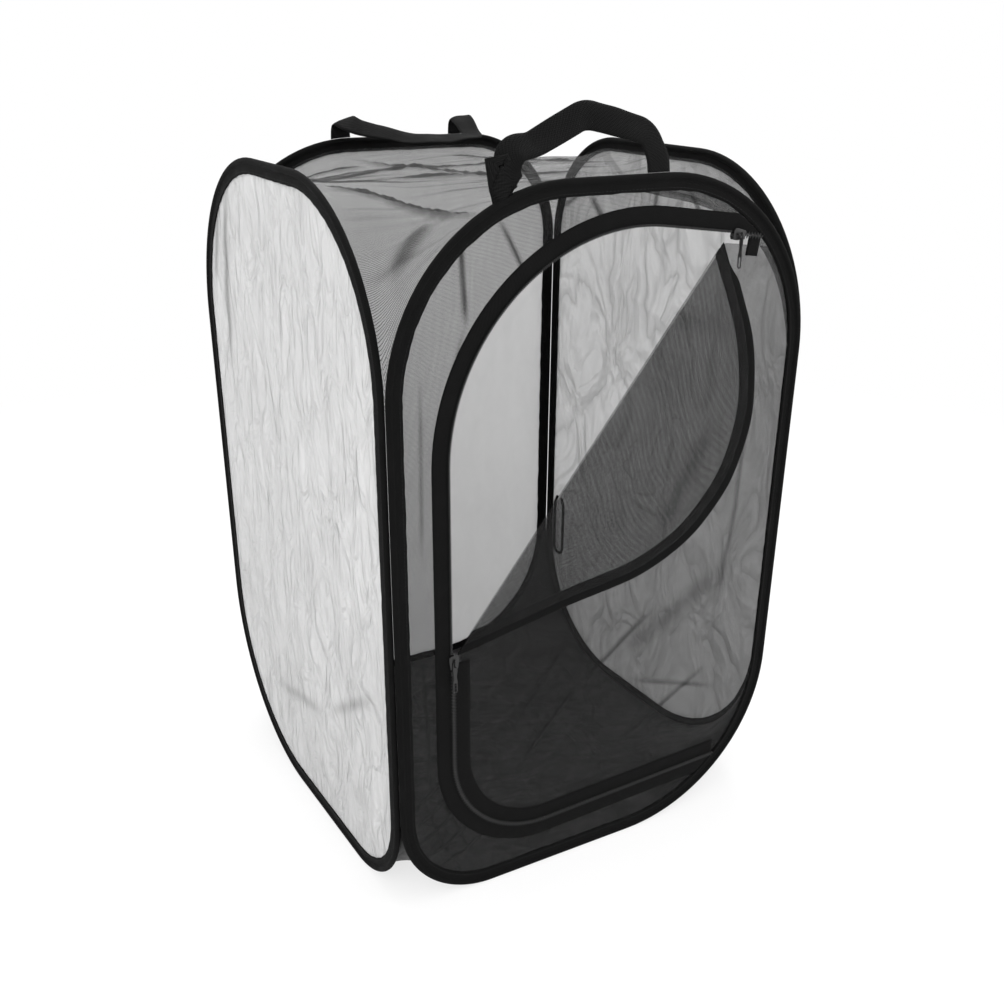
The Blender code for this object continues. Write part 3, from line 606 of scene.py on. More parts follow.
# Beads along an edge path: zip teeth and stitches
def repeatTree():
    tree = bpy.data.node_groups.new("beadsAlongPath", "GeometryNodeTree")
    tree.interface.new_socket("Geometry", in_out="OUTPUT", socket_type="NodeSocketGeometry")
    sockets = (
        ("Geometry", "Geometry", None), ("Spacing", "Float", 0.0015), ("Across", "Float", 0.005),
        ("Along", "Float", 0.001), ("Height", "Float", 0.001), ("Side Step", "Float", 0.0),
        ("Segments", "Int", 8), ("Out", "Vector", None), ("Material", "Material", None),
    )
    for label, kind, start in sockets:
        socket = tree.interface.new_socket(label, in_out="INPUT", socket_type="NodeSocket" + kind)
        if start is not None:
            socket.default_value = start
    given = addNode(tree, "NodeGroupInput").outputs
    line = addNode(tree, "GeometryNodeMeshToCurve", {"Mesh": given["Geometry"]}).outputs["Curve"]
    spacing = {"Curve": line, "Length": given["Spacing"]}
    spaced = addNode(tree, "GeometryNodeResampleCurve", spacing, mode="LENGTH").outputs["Curve"]
    tangent = addNode(tree, "GeometryNodeInputTangent").outputs["Tangent"]
    align = "FunctionNodeAlignRotationToVector"
    along = addNode(tree, align, {"Vector": tangent}, axis="Y").outputs["Rotation"]
    upright = {"Rotation": along, "Vector": given["Out"]}
    turn = addNode(tree, align, upright, axis="Z", pivot_axis="Y").outputs["Rotation"]
    # every other bead steps to the far side of the line
    order = addNode(tree, "GeometryNodeInputIndex").outputs["Index"]
    swing = calculate(tree, "MULTIPLY_ADD", calculate(tree, "FLOORED_MODULO", order, 2), 2, -1)
    step = calculate(tree, "MULTIPLY", swing, given["Side Step"])
    across = addNode(tree, "CombineXYZ", {"X": step}).outputs["Vector"]
    offset = addNode(tree, "FunctionNodeRotateVector", {"Vector": across, "Rotation": turn}).outputs["Vector"]
    moving = {"Geometry": spaced, "Offset": offset}
    moved = addNode(tree, "GeometryNodeSetPosition", moving).outputs["Geometry"]
    ball = {"Rings": 4, "Radius": 0.5, "Segments": given["Segments"]}
    bead = addNode(tree, "GeometryNodeMeshUVSphere", ball).outputs["Mesh"]
    size = {"X": given["Across"], "Y": given["Along"], "Z": given["Height"]}
    scale = addNode(tree, "CombineXYZ", size).outputs["Vector"]
    placing = {"Points": moved, "Instance": bead, "Rotation": turn, "Scale": scale}
    placed = addNode(tree, "GeometryNodeInstanceOnPoints", placing).outputs["Instances"]
    real = addNode(tree, "GeometryNodeRealizeInstances", {"Geometry": placed}).outputs["Geometry"]
    coating = {"Geometry": real, "Material": given["Material"]}
    coat = addNode(tree, "GeometryNodeSetMaterial", coating).outputs["Geometry"]
    addNode(tree, "NodeGroupOutput", {"Geometry": coat})
    return tree


beadTree = repeatTree()
beadSockets = {item.name: item.identifier for item in beadTree.interface.items_tree if item.in_out == "INPUT"}


# Beads along one or more open lines of world points, as one plain mesh
def beadsAlong(name, lines, material, out, **sizes):
    points, edges = [], []
    for line in lines:
        start = len(points)
        points += [tuple(p) for p in line]
        edges += [(k, k + 1) for k in range(start, len(points) - 1)]
    mesh = bpy.data.meshes.new(name + "Path")
    mesh.from_pydata(points, edges, [])
    path = bpy.data.objects.new(name + "Path", mesh)
    scene.collection.objects.link(path)
    tool = path.modifiers.new("beads", "NODES")
    tool.node_group = beadTree
    for label, value in sizes.items():
        tool[beadSockets[label.replace("_", " ")]] = value
    tool[beadSockets["Out"]] = list(out)
    tool[beadSockets["Material"]] = material
    made = bpy.data.meshes.new_from_object(path.evaluated_get(bpy.context.evaluated_depsgraph_get()))
    made.shade_smooth()
    made.name = name
    obj = bpy.data.objects.new(name, made)
    scene.collection.objects.link(obj)
    bpy.data.objects.remove(path, do_unlink=True)
    return obj


# Hoops: folded binding tape with its two rows of stitches
binding = {
    "slot": 0.0006,            # half of the gap between the legs
    "tape": 0.0006,
    "reach": 0.0103,           # from the wire to the legs' edge
    "inner": 0.0021,
    "station": 0.0032,
    "pucker": 0.00045,
    "stitchIn": 0.0082,
    "stitchPitch": 0.0034,
    "stitchLong": 0.0026,
    "stitchWide": 0.0005,
}


# Inward and outward places of the tape's section, with how far each is along the leg, 0 to 1
def bindingSection():
    slot, tape, reach = binding["slot"], binding["tape"], binding["reach"]
    inner, outer = binding["inner"], binding["inner"] + binding["tape"]
    innerStart, outerStart = math.asin(slot / inner), math.asin((slot + tape) / outer)
    outerRound = arcPoints((0, 0), outer, outerStart, 2 * math.pi - outerStart, 14)
    innerRound = arcPoints((0, 0), inner, innerStart, 2 * math.pi - innerStart, 14)
    legs = np.linspace(0.35, 1, 4)
    start = outer * math.cos(outerStart)
    upper = [(start + (reach - start) * s, slot + tape) for s in legs]
    upperIn = [(start + (reach - start) * s, slot) for s in legs[::-1]]
    section = list(outerRound) + [(x, -y) for x, y in upper] + [(x, -y) for x, y in upperIn]
    section += list(innerRound[::-1]) + upperIn[::-1] + upper[::-1]
    section = np.array(section)
    return section, np.clip((section[:, 0] - outer) / (reach - outer), 0, 1)


def makeBinding(side):
    outline = hoopOutline(side)
    points, tangents, walked = alongPath(outline, binding["station"], closed=True)
    inward = np.stack([-tangents[:, 1], tangents[:, 0]], 1)
    section, leg = bindingSection()
    seed = sum(ord(c) for c in side)
    wave = ripple(walked, walked * 0, 0.034, 1.0, seed) * binding["pucker"]
    edge = ripple(walked, walked * 0, 0.021, 1.0, seed + 5) * binding["pucker"]
    rings = []
    for point, into, lift, reach in zip(points, inward, wave, edge):
        depth = section[:, 0] + leg * reach
        out = section[:, 1] + 0.35 * leg * lift * np.sign(section[:, 1]) * (np.abs(section[:, 1]) > 0.0009)
        flat = point + depth[:, None] * into
        rings.append(onWall(side, flat[:, 0], flat[:, 1], out))
    piece = sweptStrip(side + "BindingTape", np.array(rings), bindingTape, True, 0.034)
    seatPiece(piece, wallFrames[side]["body"], side + "_binding")
    lines = []
    row, _, _ = alongPath(hoopOutline(side, binding["stitchIn"]), 0.004, closed=True)
    row = np.vstack([row, row[:1]])
    for outward in (1, -1):
        level = outward * (binding["slot"] + binding["tape"])
        lines.append(onWall(side, row[:, 0], row[:, 1], level))
    stitches = beadsAlong(
        side + "BindingStitches", lines, blackThread, wallFrames[side]["out"], Spacing=binding["stitchPitch"],
        Across=binding["stitchWide"], Along=binding["stitchLong"], Height=binding["stitchWide"], Segments=6,
    )
    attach(stitches, wallFrames[side]["body"])
    for node, finish in (("_hoop_wire", springWire), ("_hoop_ferrule", ferruleMetal)):
        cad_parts[side + node].material_slots[0].material = finish


for side in wallFrames:
    makeBinding(side)
print("bindings made")


# White walls
wallCloth = {"thickness": 0.0005, "spacing": 0.0045, "edgeFade": 0.030, "seat": 0.0115}


# How far inside the hoop's line a place is
def edgeDepth(side, x, y):
    outline = hoopOutline(side)
    return distanceToPath(np.stack([x, y], 1), np.vstack([outline, outline[:1]]))


def wallShape(side, x, y):
    fade = smooth((edgeDepth(side, x, y) - wallCloth["seat"]) / wallCloth["edgeFade"])
    if side == "left":
        form = ripple(x, y, 0.026, 0.075, 3) * 0.0010 + ripple(x, y, 0.16, 0.40, 4) * 0.0022
        form += crease(x, y, (-0.15, 0.10), (-0.02, 0.33), 0.006, 0.0020)
        form += crease(x, y, (0.15, 0.12), (0.05, 0.42), 0.007, 0.0022)
    elif side == "back":
        form = ripple(x, y, 0.12, 0.30, 7) * 0.0020 + ripple(x, y, 0.035, 0.5, 8) * 0.0006
        form += crease(x, y, (-0.12, 0.16), (0.10, 0.22), 0.010, 0.0025)
    else:
        form = ripple(x, y, 0.13, 0.22, 11) * 0.0020 + ripple(x, y, 0.034, 0.09, 12) * 0.0012
        for start, end, wide, high in (
            ((-0.16, 0.50), (0.02, 0.36), 0.008, 0.0045), ((-0.13, 0.40), (0.10, 0.47), 0.007, -0.0040),
            ((-0.10, 0.28), (0.12, 0.40), 0.009, 0.0042), ((-0.15, 0.20), (0.06, 0.30), 0.008, -0.0035),
            ((0.00, 0.52), (0.05, 0.30), 0.007, 0.0036), ((-0.04, 0.12), (0.13, 0.24), 0.009, 0.0038),
            ((0.10, 0.50), (0.14, 0.28), 0.006, -0.0030),
        ):
            form += crease(x, y, start, end, wide, high)
    return form * fade


wallMaterials = {"left": puckeredCloth, "back": smoothClothPaintedLight, "right": crumpledCloth}

# Painted shade on the walls: in two gathers at the left wall's far top corner, along the floor's edge that
# shows through the left wall, and in two gathers of the right wall
wallShadedGathers = {
    "left": (((-0.113, 0.586), (-0.150, 0.393), 0.0050, 0.60),
             ((-0.132, 0.578), (-0.172, 0.470), 0.0045, 0.50),
             ((-0.099, 0.084), (0.045, 0.122), 0.0055, 0.32), ((0.045, 0.122), (0.160, 0.196), 0.0055, 0.32)),
    "back": (),
    "right": (((-0.020, 0.560), (0.020, 0.430), 0.0050, 0.12),
              ((0.020, 0.430), (-0.060, 0.330), 0.0050, 0.12)),
}


def makeWallCloth(side):
    outline = hoopOutline(side, cage["seamDepth"])
    points, faces = cutSheet(outline, wallCloth["spacing"])
    form = wallShape(side, points[:, 0], points[:, 1])
    place = onWall(side, points[:, 0], points[:, 1], form)
    piece = meshObject(side + "WallCloth", place, faces, wallMaterials[side], points)
    bunchAndShadeOn(piece, bunched(points[:, 0], points[:, 1], wallShadedGathers[side]))
    addThickness(piece, wallCloth["thickness"])
    seatPiece(piece, wallFrames[side]["body"], side + "_wall_cloth")


for side in ("left", "back", "right"):
    makeWallCloth(side)
print("walls made")


# The zipped front
zipLine = {
    "corners": ((0.17896, 0.5420), (-0.14496, 0.5850), (-0.14496, 0.0450), (0.17396, 0.0560)),
    "radii": (0.165, 0.090),
    "setback": 0.0075,
    "tapeNear": 0.0007,
    "tapeFar": 0.0157,
    "tapeLayer": 0.00085,
    "tapeThick": 0.0005,
    "coilLayer": 0.0020,
    "toothPitch": 0.00145,
    "toothLong": 0.00115,
    "toothHigh": 0.0012,
    "coilHalf": 0.0028,
    "upperX": 0.11646,
    "lowerZ": 0.23697,
    "foldUpper": (0.10596, 0.5505),
    "foldLower": (-0.13696, 0.2450),
    "foldGap": 0.0006,
    "openAngle": math.radians(170),
    "topTapeStop": 0.016,
    "lowTapeStop": 0.0008,
    "halfHeight": 0.4,
    "hemStart": 0.0050,
    "teethStart": 0.0317,
    "drawIn": 0.0045,          # how far the folded tape draws in beside the upper slider
    "drawStart": 0.020,
    "drawReach": 0.018,
}
zipPath = filletedPath(zipLine["corners"], zipLine["radii"], 40)
zipPoints, zipTangents, zipWalked = alongPath(zipPath, 0.0025)
foldLower, foldUpper = np.array(zipLine["foldLower"]), np.array(zipLine["foldUpper"])
foldRun = (foldUpper - foldLower) / np.linalg.norm(foldUpper - foldLower)
foldSide = np.array([-foldRun[1], foldRun[0]])
foldMiddle = (foldUpper + foldLower) / 2
tapeBounds = hoopOutline("front", binding["reach"] + 0.0004)
panelBounds = hoopOutline("front", cage["seamDepth"])


def beyondFold(points):
    return (points - foldLower) @ foldSide


def trimmed(points, bounds):
    return points[inside(bounds, points)]


frontNets = {
    "stripSpacing": 0.0020, "doorSpacing": 0.0028, "flapSpacing": 0.0050, "thickness": 0.0004,
    "edgeFade": 0.022, "zipClear": 0.0165, "zipFade": 0.018,
}


def frontFade(points):
    depth = edgeDepth("front", points[:, 0], points[:, 1])
    away = distanceToPath(points, zipPath)
    edge = smooth((depth - wallCloth["seat"]) / frontNets["edgeFade"])
    return edge * smooth((away - frontNets["zipClear"]) / frontNets["zipFade"])


# Creases of the fixed strip, read off the photograph in metres on the wall
stripCreases = (
    ((-0.135, 0.573), (-0.130, 0.500), 0.0019, 0.85), ((-0.106, 0.580), (-0.073, 0.522), 0.0016, 0.80),
    ((-0.073, 0.522), (-0.051, 0.553), 0.0016, 0.70), ((-0.052, 0.580), (-0.030, 0.592), 0.0016, 0.60),
    ((-0.030, 0.592), (0.000, 0.548), 0.0019, 0.80), ((0.034, 0.593), (0.031, 0.569), 0.0016, 0.70),
    ((0.064, 0.586), (0.078, 0.566), 0.0016, 0.70), ((-0.168, 0.480), (-0.170, 0.320), 0.0014, 0.35),
    ((-0.172, 0.260), (-0.166, 0.090), 0.0016, 0.40), ((-0.155, 0.420), (-0.130, 0.510), 0.0014, 0.35),
    ((-0.184, 0.100), (-0.150, 0.128), 0.0014, 0.95), ((-0.183, 0.082), (-0.146, 0.108), 0.0014, 0.95),
    ((-0.180, 0.064), (-0.138, 0.090), 0.0014, 0.95), ((-0.172, 0.047), (-0.126, 0.072), 0.0014, 0.95),
    ((-0.160, 0.034), (-0.110, 0.056), 0.0014, 0.90), ((-0.176, 0.112), (-0.150, 0.040), 0.0014, 0.50),
    ((-0.158, 0.110), (-0.128, 0.034), 0.0014, 0.50), ((-0.050, 0.024), (-0.040, 0.050), 0.0014, 0.45),
)


def frontShape(points):
    x, y = points[:, 0], points[:, 1]
    form = ripple(x, y, 0.020, 0.25, 21) * 0.0008 + ripple(x, y, 0.11, 0.30, 22) * 0.0018
    for start, end, wide, share in stripCreases:
        form += crease(x, y, start, end, wide, share * 0.0022)
    return form * frontFade(points)


frameEdge = trimmed(sideways(zipPoints, zipTangents, zipLine["setback"]), panelBounds)
doorEdge = trimmed(sideways(zipPoints, zipTangents, -zipLine["setback"]), panelBounds)


# Round the hoop from the top right by the left to the bottom right, then back beside the zip
def stripOutline():
    steps = cage["arcSteps"] + 1
    lowRight, highRight = panelBounds[steps:2 * steps], panelBounds[2 * steps:3 * steps]
    upper = highRight[highRight[:, 1] > frameEdge[0][1] + 0.0005]
    lower = lowRight[lowRight[:, 1] < frameEdge[-1][1] - 0.0005]
    return np.concatenate([upper, panelBounds[3 * steps:], panelBounds[:steps], lower, frameEdge[::-1]])


def doorOutline():
    steps = cage["arcSteps"] + 1
    right = panelBounds[steps:3 * steps]
    beyond = beyondFold(doorEdge) > -zipLine["foldGap"]
    first, last = np.argmax(beyond), len(beyond) - 1 - np.argmax(beyond[::-1])
    top, bottom = doorEdge[:first], doorEdge[last + 1:]
    side = right[(right[:, 1] > bottom[-1][1]) & (right[:, 1] < top[0][1])]
    return np.concatenate([top, bottom, side])


def makeNet(name, node, outline, form, gathers, evenShade, spacing):
    points, faces = cutSheet(outline, spacing)
    place = onWall("front", points[:, 0], points[:, 1], form(points))
    piece = meshObject(name, place, faces, blackNet, points)
    bunchAndShadeOn(piece, evenShade + bunched(points[:, 0], points[:, 1], gathers))
    addThickness(piece, frontNets["thickness"])
    seatPiece(piece, "front_frame", node)
    return piece, outline


doorCreases = (
    ((-0.080, 0.112), (-0.018, 0.182), 0.0022, 0.75), ((0.020, 0.100), (0.130, 0.160), 0.0024, 0.45),
    ((-0.018, 0.182), (0.060, 0.235), 0.0023, 0.45), ((0.130, 0.200), (0.150, 0.420), 0.0022, 0.35),
    ((-0.060, 0.070), (0.040, 0.075), 0.0020, 0.40), ((0.010, 0.190), (0.150, 0.260), 0.0100, 0.22),
    ((0.030, 0.170), (0.140, 0.130), 0.0020, 0.35), ((-0.090, 0.150), (-0.030, 0.230), 0.0020, 0.35),
)
flapCreases = (
    ((0.020, 0.560), (0.150, 0.300), 0.0080, 0.18), ((-0.030, 0.520), (-0.125, 0.430), 0.0070, 0.22),
    ((-0.010, 0.570), (-0.110, 0.560), 0.0090, 0.20),
)


def doorShape(points):
    x, y = points[:, 0], points[:, 1]
    form = ripple(x, y, 0.10, 0.16, 31) * 0.0022
    for start, end, wide, share in doorCreases:
        form += crease(x, y, start, end, wide, share * 0.0026)
    return form * frontFade(points) * smooth((-beyondFold(points) - 0.004) / 0.03)


frontNet, stripFlat = makeNet(
    "frontNet", "front_net", stripOutline(), frontShape, stripCreases, 0.0, frontNets["stripSpacing"]
)
# the door net takes an even painted shade of 0.16 over all of it
doorNet, doorFlat = makeNet(
    "doorNet", "door_net", doorOutline(), doorShape, doorCreases, 0.16, frontNets["doorSpacing"]
)
print("front made")


fold = {
    "radius": 0.0011, "sink": 0.00125, "sinkReach": 0.004, "sag": 0.0035, "sagStart": 0.06,
    "sagReach": 0.135, "wave": 0.0014, "waveStart": 0.03,
}


# Where places of the closed door go when its corner hangs open, with their height over the net's face
def foldOpen(points, out):
    offset = points - foldMiddle
    along, away = offset @ foldRun, offset @ foldSide
    radius = fold["radius"]
    angle = zipLine["openAngle"]
    bendLength = radius * angle
    turn = np.clip(away / bendLength, 0, 1) * angle
    straight = np.maximum(away - bendLength, 0)
    # the bend runs round a small circle that starts flat on the door, then the sheet goes straight
    reach = radius * np.sin(turn) + straight * math.cos(angle)
    rise = radius * (1 - np.cos(turn)) + straight * math.sin(angle)
    rise = rise - fold["sink"] * smooth(away / fold["sinkReach"])
    arch = np.sin(np.clip(straight / fold["sagReach"], 0, 1) * math.pi)
    sag = fold["sag"] * smooth(straight / fold["sagStart"]) * arch
    sag = sag + fold["wave"] * ripple(along, away, 0.085, 0.11, 41) * smooth(straight / fold["waveStart"])
    normalReach, normalRise = -np.sin(turn), np.cos(turn)
    reach = reach + normalReach * (out + sag)
    rise = rise + normalRise * (out + sag)
    flat = foldMiddle + along[:, None] * foldRun + reach[:, None] * foldSide
    return onWall("front", flat[:, 0], flat[:, 1], rise)


# The door's edge beyond the fold, then back along the fold
def flapOutline():
    beyond = doorEdge[beyondFold(doorEdge) > 0.0025]
    along = (beyond - foldLower) @ foldRun
    low, high = along[-1] + 0.003, along[0] - 0.003
    steps = np.linspace(low, high, 90)
    back = foldLower + steps[:, None] * foldRun + zipLine["foldGap"] * foldSide
    return np.concatenate([beyond, back])


flapFlat = flapOutline()
flapPoints, flapFaces = cutSheet(flapFlat, frontNets["flapSpacing"])
flapPlace = foldOpen(flapPoints, np.zeros(len(flapPoints)))
doorFlap = meshObject("doorFlap", flapPlace, flapFaces, blackNet, flapPoints)
bunchAndShadeOn(doorFlap, 0.14 + bunched(flapPoints[:, 0], flapPoints[:, 1], flapCreases))
addThickness(doorFlap, frontNets["thickness"])
seatPiece(doorFlap, "door_flap", "door_flap_net")


# Rings of a flat band beside the path, six points over and six under. far is given for each point
def bandStations(points, tangents, near, far, low, high, warp):
    shares = np.linspace(0, 1, 6)
    flat = np.stack([sideways(points, tangents, near + (far - near) * share) for share in shares], 1)
    count, wide, _ = flat.shape
    top = warp(flat.reshape(-1, 2), np.full(count * wide, high)).reshape(count, wide, 3)
    bottom = warp(flat.reshape(-1, 2), np.full(count * wide, low)).reshape(count, wide, 3)
    return np.concatenate([top, bottom[:, ::-1]], 1)


def flatOut(points, out):
    return onWall("front", points[:, 0], points[:, 1], out)


# A tape beside the zip over the stretch that the test keeps, narrowed where it meets the binding
def zipBand(name, node, body, near, far, keep, warp):
    good = inside(tapeBounds, sideways(zipPoints, zipTangents, near)) & keep(zipPoints)
    near = np.broadcast_to(near, len(zipPoints))
    reach = near.copy()
    for share in np.linspace(0.05, 1, 20):
        side = sideways(zipPoints, zipTangents, near + (far - near) * share)
        reach = np.where(inside(tapeBounds, side), near + (far - near) * share, reach)
    runs = np.flatnonzero(good & (np.abs(reach - near) > 0.0008))
    half = zipLine["tapeThick"] / 2
    layer = zipLine["tapeLayer"]
    edges = near[runs], reach[runs]
    stations = bandStations(zipPoints[runs], zipTangents[runs], *edges, layer - half, layer + half, warp)
    piece = sweptStrip(name, stations, zipTape, False, 0.031)
    seatPiece(piece, body, node)
    return piece


upperRun = zipWalked[np.argmax(zipPoints[:, 0] < zipLine["upperX"])]
lowerRun = zipWalked[np.argmax((zipPoints[:, 0] < 0) & (zipPoints[:, 1] < zipLine["lowerZ"]))]
near, far = zipLine["tapeNear"], zipLine["tapeFar"]
frameTape = zipBand(
    "zipFrameTape", "zip_frame_tape", "front_frame", near, far, lambda points: points[:, 0] > -1, flatOut
)


def upperTest(points):
    return (beyondFold(points) < -zipLine["topTapeStop"]) & (points[:, 1] > zipLine["halfHeight"])


def lowerTest(points):
    return (beyondFold(points) < -zipLine["lowTapeStop"]) & (points[:, 1] < zipLine["halfHeight"])


doorTapeTop = zipBand("zipDoorTapeTop", "zip_door_tape_top", "front_frame", -near, -far, upperTest, flatOut)
doorTapeLow = zipBand("zipDoorTapeLow", "zip_door_tape_low", "front_frame", -near, -far, lowerTest, flatOut)
# near the slider the folded tape draws in, clear of the hanging pull, and its teeth start lower down
drawShare = 1 - smooth((beyondFold(zipPoints) - zipLine["drawStart"]) / zipLine["drawReach"])
atTop = (zipPoints[:, 1] > zipLine["halfHeight"]) * drawShare
flapTape = zipBand(
    "zipFlapTape", "zip_flap_tape", "door_flap", -near - zipLine["drawIn"] * atTop, -far,
    lambda points: beyondFold(points) > zipLine["hemStart"], foldOpen,
)


def teeth(name, node, body, start, end, sideCentre, across, step, out, warp=None, test=None):
    keep = (zipWalked >= start) & (zipWalked <= end)
    line = sideways(zipPoints, zipTangents, sideCentre)
    keep &= inside(tapeBounds, line)
    if test is not None:
        keep &= test(line)
    line = line[keep]
    level = np.full(len(line), zipLine["coilLayer"])
    world = (warp or flatOut)(line, level)
    piece = beadsAlong(
        name, [world], coilNylon, out, Spacing=zipLine["toothPitch"], Across=across,
        Along=zipLine["toothLong"], Height=zipLine["toothHigh"], Side_Step=step, Segments=8,
    )
    seatPiece(piece, body, node)
    return piece


frontOut = (0, -1, 0)
openOut = Matrix.Rotation(zipLine["openAngle"], 3, Vector((foldRun[0], 0, foldRun[1]))) @ Vector(frontOut)
half = zipLine["coilHalf"]
topCoil = teeth("zipCoilTop", "zip_coil_top", "front_frame", 0, upperRun - 0.003, 0, 0.0044, 0.0007, frontOut)
lowCoil = teeth("zipCoilLow", "zip_coil_low", "front_frame", lowerRun + 0.003, 9, 0, 0.0044, 0.0007, frontOut)
openCoil = teeth(
    "zipCoilFrame", "zip_coil_frame", "front_frame", upperRun + 0.006, lowerRun - 0.006, half / 2 + 0.0001,
    half - 0.0002, 0.0, frontOut,
)
flapCoil = teeth(
    "zipCoilFlap", "zip_coil_flap", "door_flap", 0, 9, -half / 2 - 0.0001, half - 0.0002, 0.0, openOut,
    foldOpen, lambda points: beyondFold(points) > zipLine["teethStart"],
)
print("zip made")


# Sliders and pulls
slider = {
    "length": 0.0120, "wide": 0.0090, "narrow": 0.0066, "plate": 0.0010, "play": 0.0003, "coilThick": 0.0012,
    "postWide": 0.0016, "postLong": 0.0030, "bridgeWide": 0.0016, "bridgeLong": 0.0060, "bridgeHigh": 0.0034,
    "bridgeBar": 0.0010, "pullLong": 0.0280, "pullThick": 0.0009, "eyeBar": 0.0009, "eyeLong": 0.0036,
    "ringLong": 0.0100, "bevel": 0.00022, "neckDrop": 0.0085, "neckGap": 0.001, "neckSlim": 0.0006,
}


# A flat plate with holes and softened edges, placed by a matrix
def plateFromLoops(name, loops, thickness, bevel, matrix):
    curve = bpy.data.curves.new(name, "CURVE")
    curve.dimensions = "2D"
    curve.fill_mode = "BOTH"
    curve.extrude = thickness / 2 - bevel
    curve.bevel_depth = bevel
    curve.bevel_resolution = 2
    curve.offset = -bevel
    for loop in loops:
        spline = curve.splines.new("POLY")
        spline.points.add(len(loop) - 1)
        for point, place in zip(spline.points, loop):
            point.co = (place[0], place[1], 0, 1)
        spline.use_cyclic_u = True
    flat = bpy.data.objects.new(name, curve)
    scene.collection.objects.link(flat)
    mesh = bpy.data.meshes.new_from_object(flat.evaluated_get(bpy.context.evaluated_depsgraph_get()))
    bpy.data.objects.remove(flat, do_unlink=True)
    shape = bmesh.new()
    shape.from_mesh(mesh)
    bmesh.ops.remove_doubles(shape, verts=shape.verts, dist=0.00001)
    bmesh.ops.recalc_face_normals(shape, faces=shape.faces)
    shape.transform(matrix)
    shape.to_mesh(mesh)
    shape.free()
    return mesh


def joinMeshes(name, meshes, material):
    whole = bmesh.new()
    for mesh in meshes:
        whole.from_mesh(mesh)
    made = bpy.data.meshes.new(name)
    whole.to_mesh(made)
    whole.free()
    made.materials.clear()
    obj = newObject(name, made, material)
    obj.data.set_sharp_from_angle(angle=math.radians(35))
    return obj


def capsule(width, low, high, radius, steps=8):
    return roundedOutline(width, low, high, (min(radius, width / 2 * 0.98),) * 4, steps)


# World matrix of a place on the zip: x across it, y along it, z out from the coil
def onZip(middle, tangent, height=0):
    out = -cage["half"] - zipLine["coilLayer"] - height
    across = (tangent[1], -tangent[0])
    return Matrix(
        ((across[0], tangent[0], 0, middle[0]), (0, 0, -1, out), (across[1], tangent[1], 0, middle[1]),
         (0, 0, 0, 1))
    )


# Two shaped plates on a post, with the bridge for the pull
def makeSlider(name, node, body, run, turned, postSide):
    index = int(np.argmin(np.abs(zipWalked - run)))
    middle, tangent = zipPoints[index], zipTangents[index] * (-1 if turned else 1)
    toWorld = onZip(middle, tangent)
    long, wide, narrow = slider["length"] / 2, slider["wide"] / 2, slider["narrow"] / 2
    plate = np.array(
        [(-narrow, -long), (narrow, -long), (wide, long * 0.25), (wide, long * 0.8), (wide * 0.55, long),
         (-wide * 0.55, long), (-wide, long * 0.8), (-wide, long * 0.25)]
    )
    top = slider["coilThick"] / 2 + slider["play"] + slider["plate"] / 2
    under = zipLine["tapeLayer"] - zipLine["coilLayer"] - zipLine["tapeThick"] / 2
    low = under - slider["play"] - slider["plate"] / 2
    move = lambda z: toWorld @ Matrix.Translation((0, 0, z))
    parts = [plateFromLoops(name + "Top", [plate], slider["plate"], slider["bevel"], move(top))]
    parts.append(plateFromLoops(name + "Low", [plate], slider["plate"], slider["bevel"], move(low)))
    post = capsule(slider["postWide"], long - slider["postLong"], long, 0.0004)
    post[:, 0] += postSide * (slider["postWide"] / 2 + 0.0002)
    parts.append(plateFromLoops(name + "Post", [post], top - low, 0.00005, move((top + low) / 2)))
    archLow, archHigh = top, top + slider["bridgeHigh"]
    arch = roundedOutline(slider["bridgeLong"], archLow, archHigh, (0.0003, 0.0003, 0.0014, 0.0014), 6)
    holeWide = slider["bridgeLong"] - 2 * slider["bridgeBar"]
    holeLow, holeHigh = top + slider["plate"] / 2, archHigh - slider["bridgeBar"]
    hole = roundedOutline(holeWide, holeLow, holeHigh, (0.0002, 0.0002, 0.0007, 0.0007), 5)
    stand = Matrix(((0, 0, 1, 0), (1, 0, 0, 0), (0, 1, 0, 0), (0, 0, 0, 1)))
    parts.append(plateFromLoops(name + "Bridge", [arch, hole], slider["bridgeWide"], 0.0002, toWorld @ stand))
    piece = joinMeshes(name, parts, sliderEnamel)
    seatPiece(piece, body, node)
    barHeight = top + slider["bridgeHigh"] - slider["bridgeBar"] / 2
    tunnel = (holeLow + barHeight - slider["bridgeBar"] / 2) / 2
    return middle, barHeight, tunnel


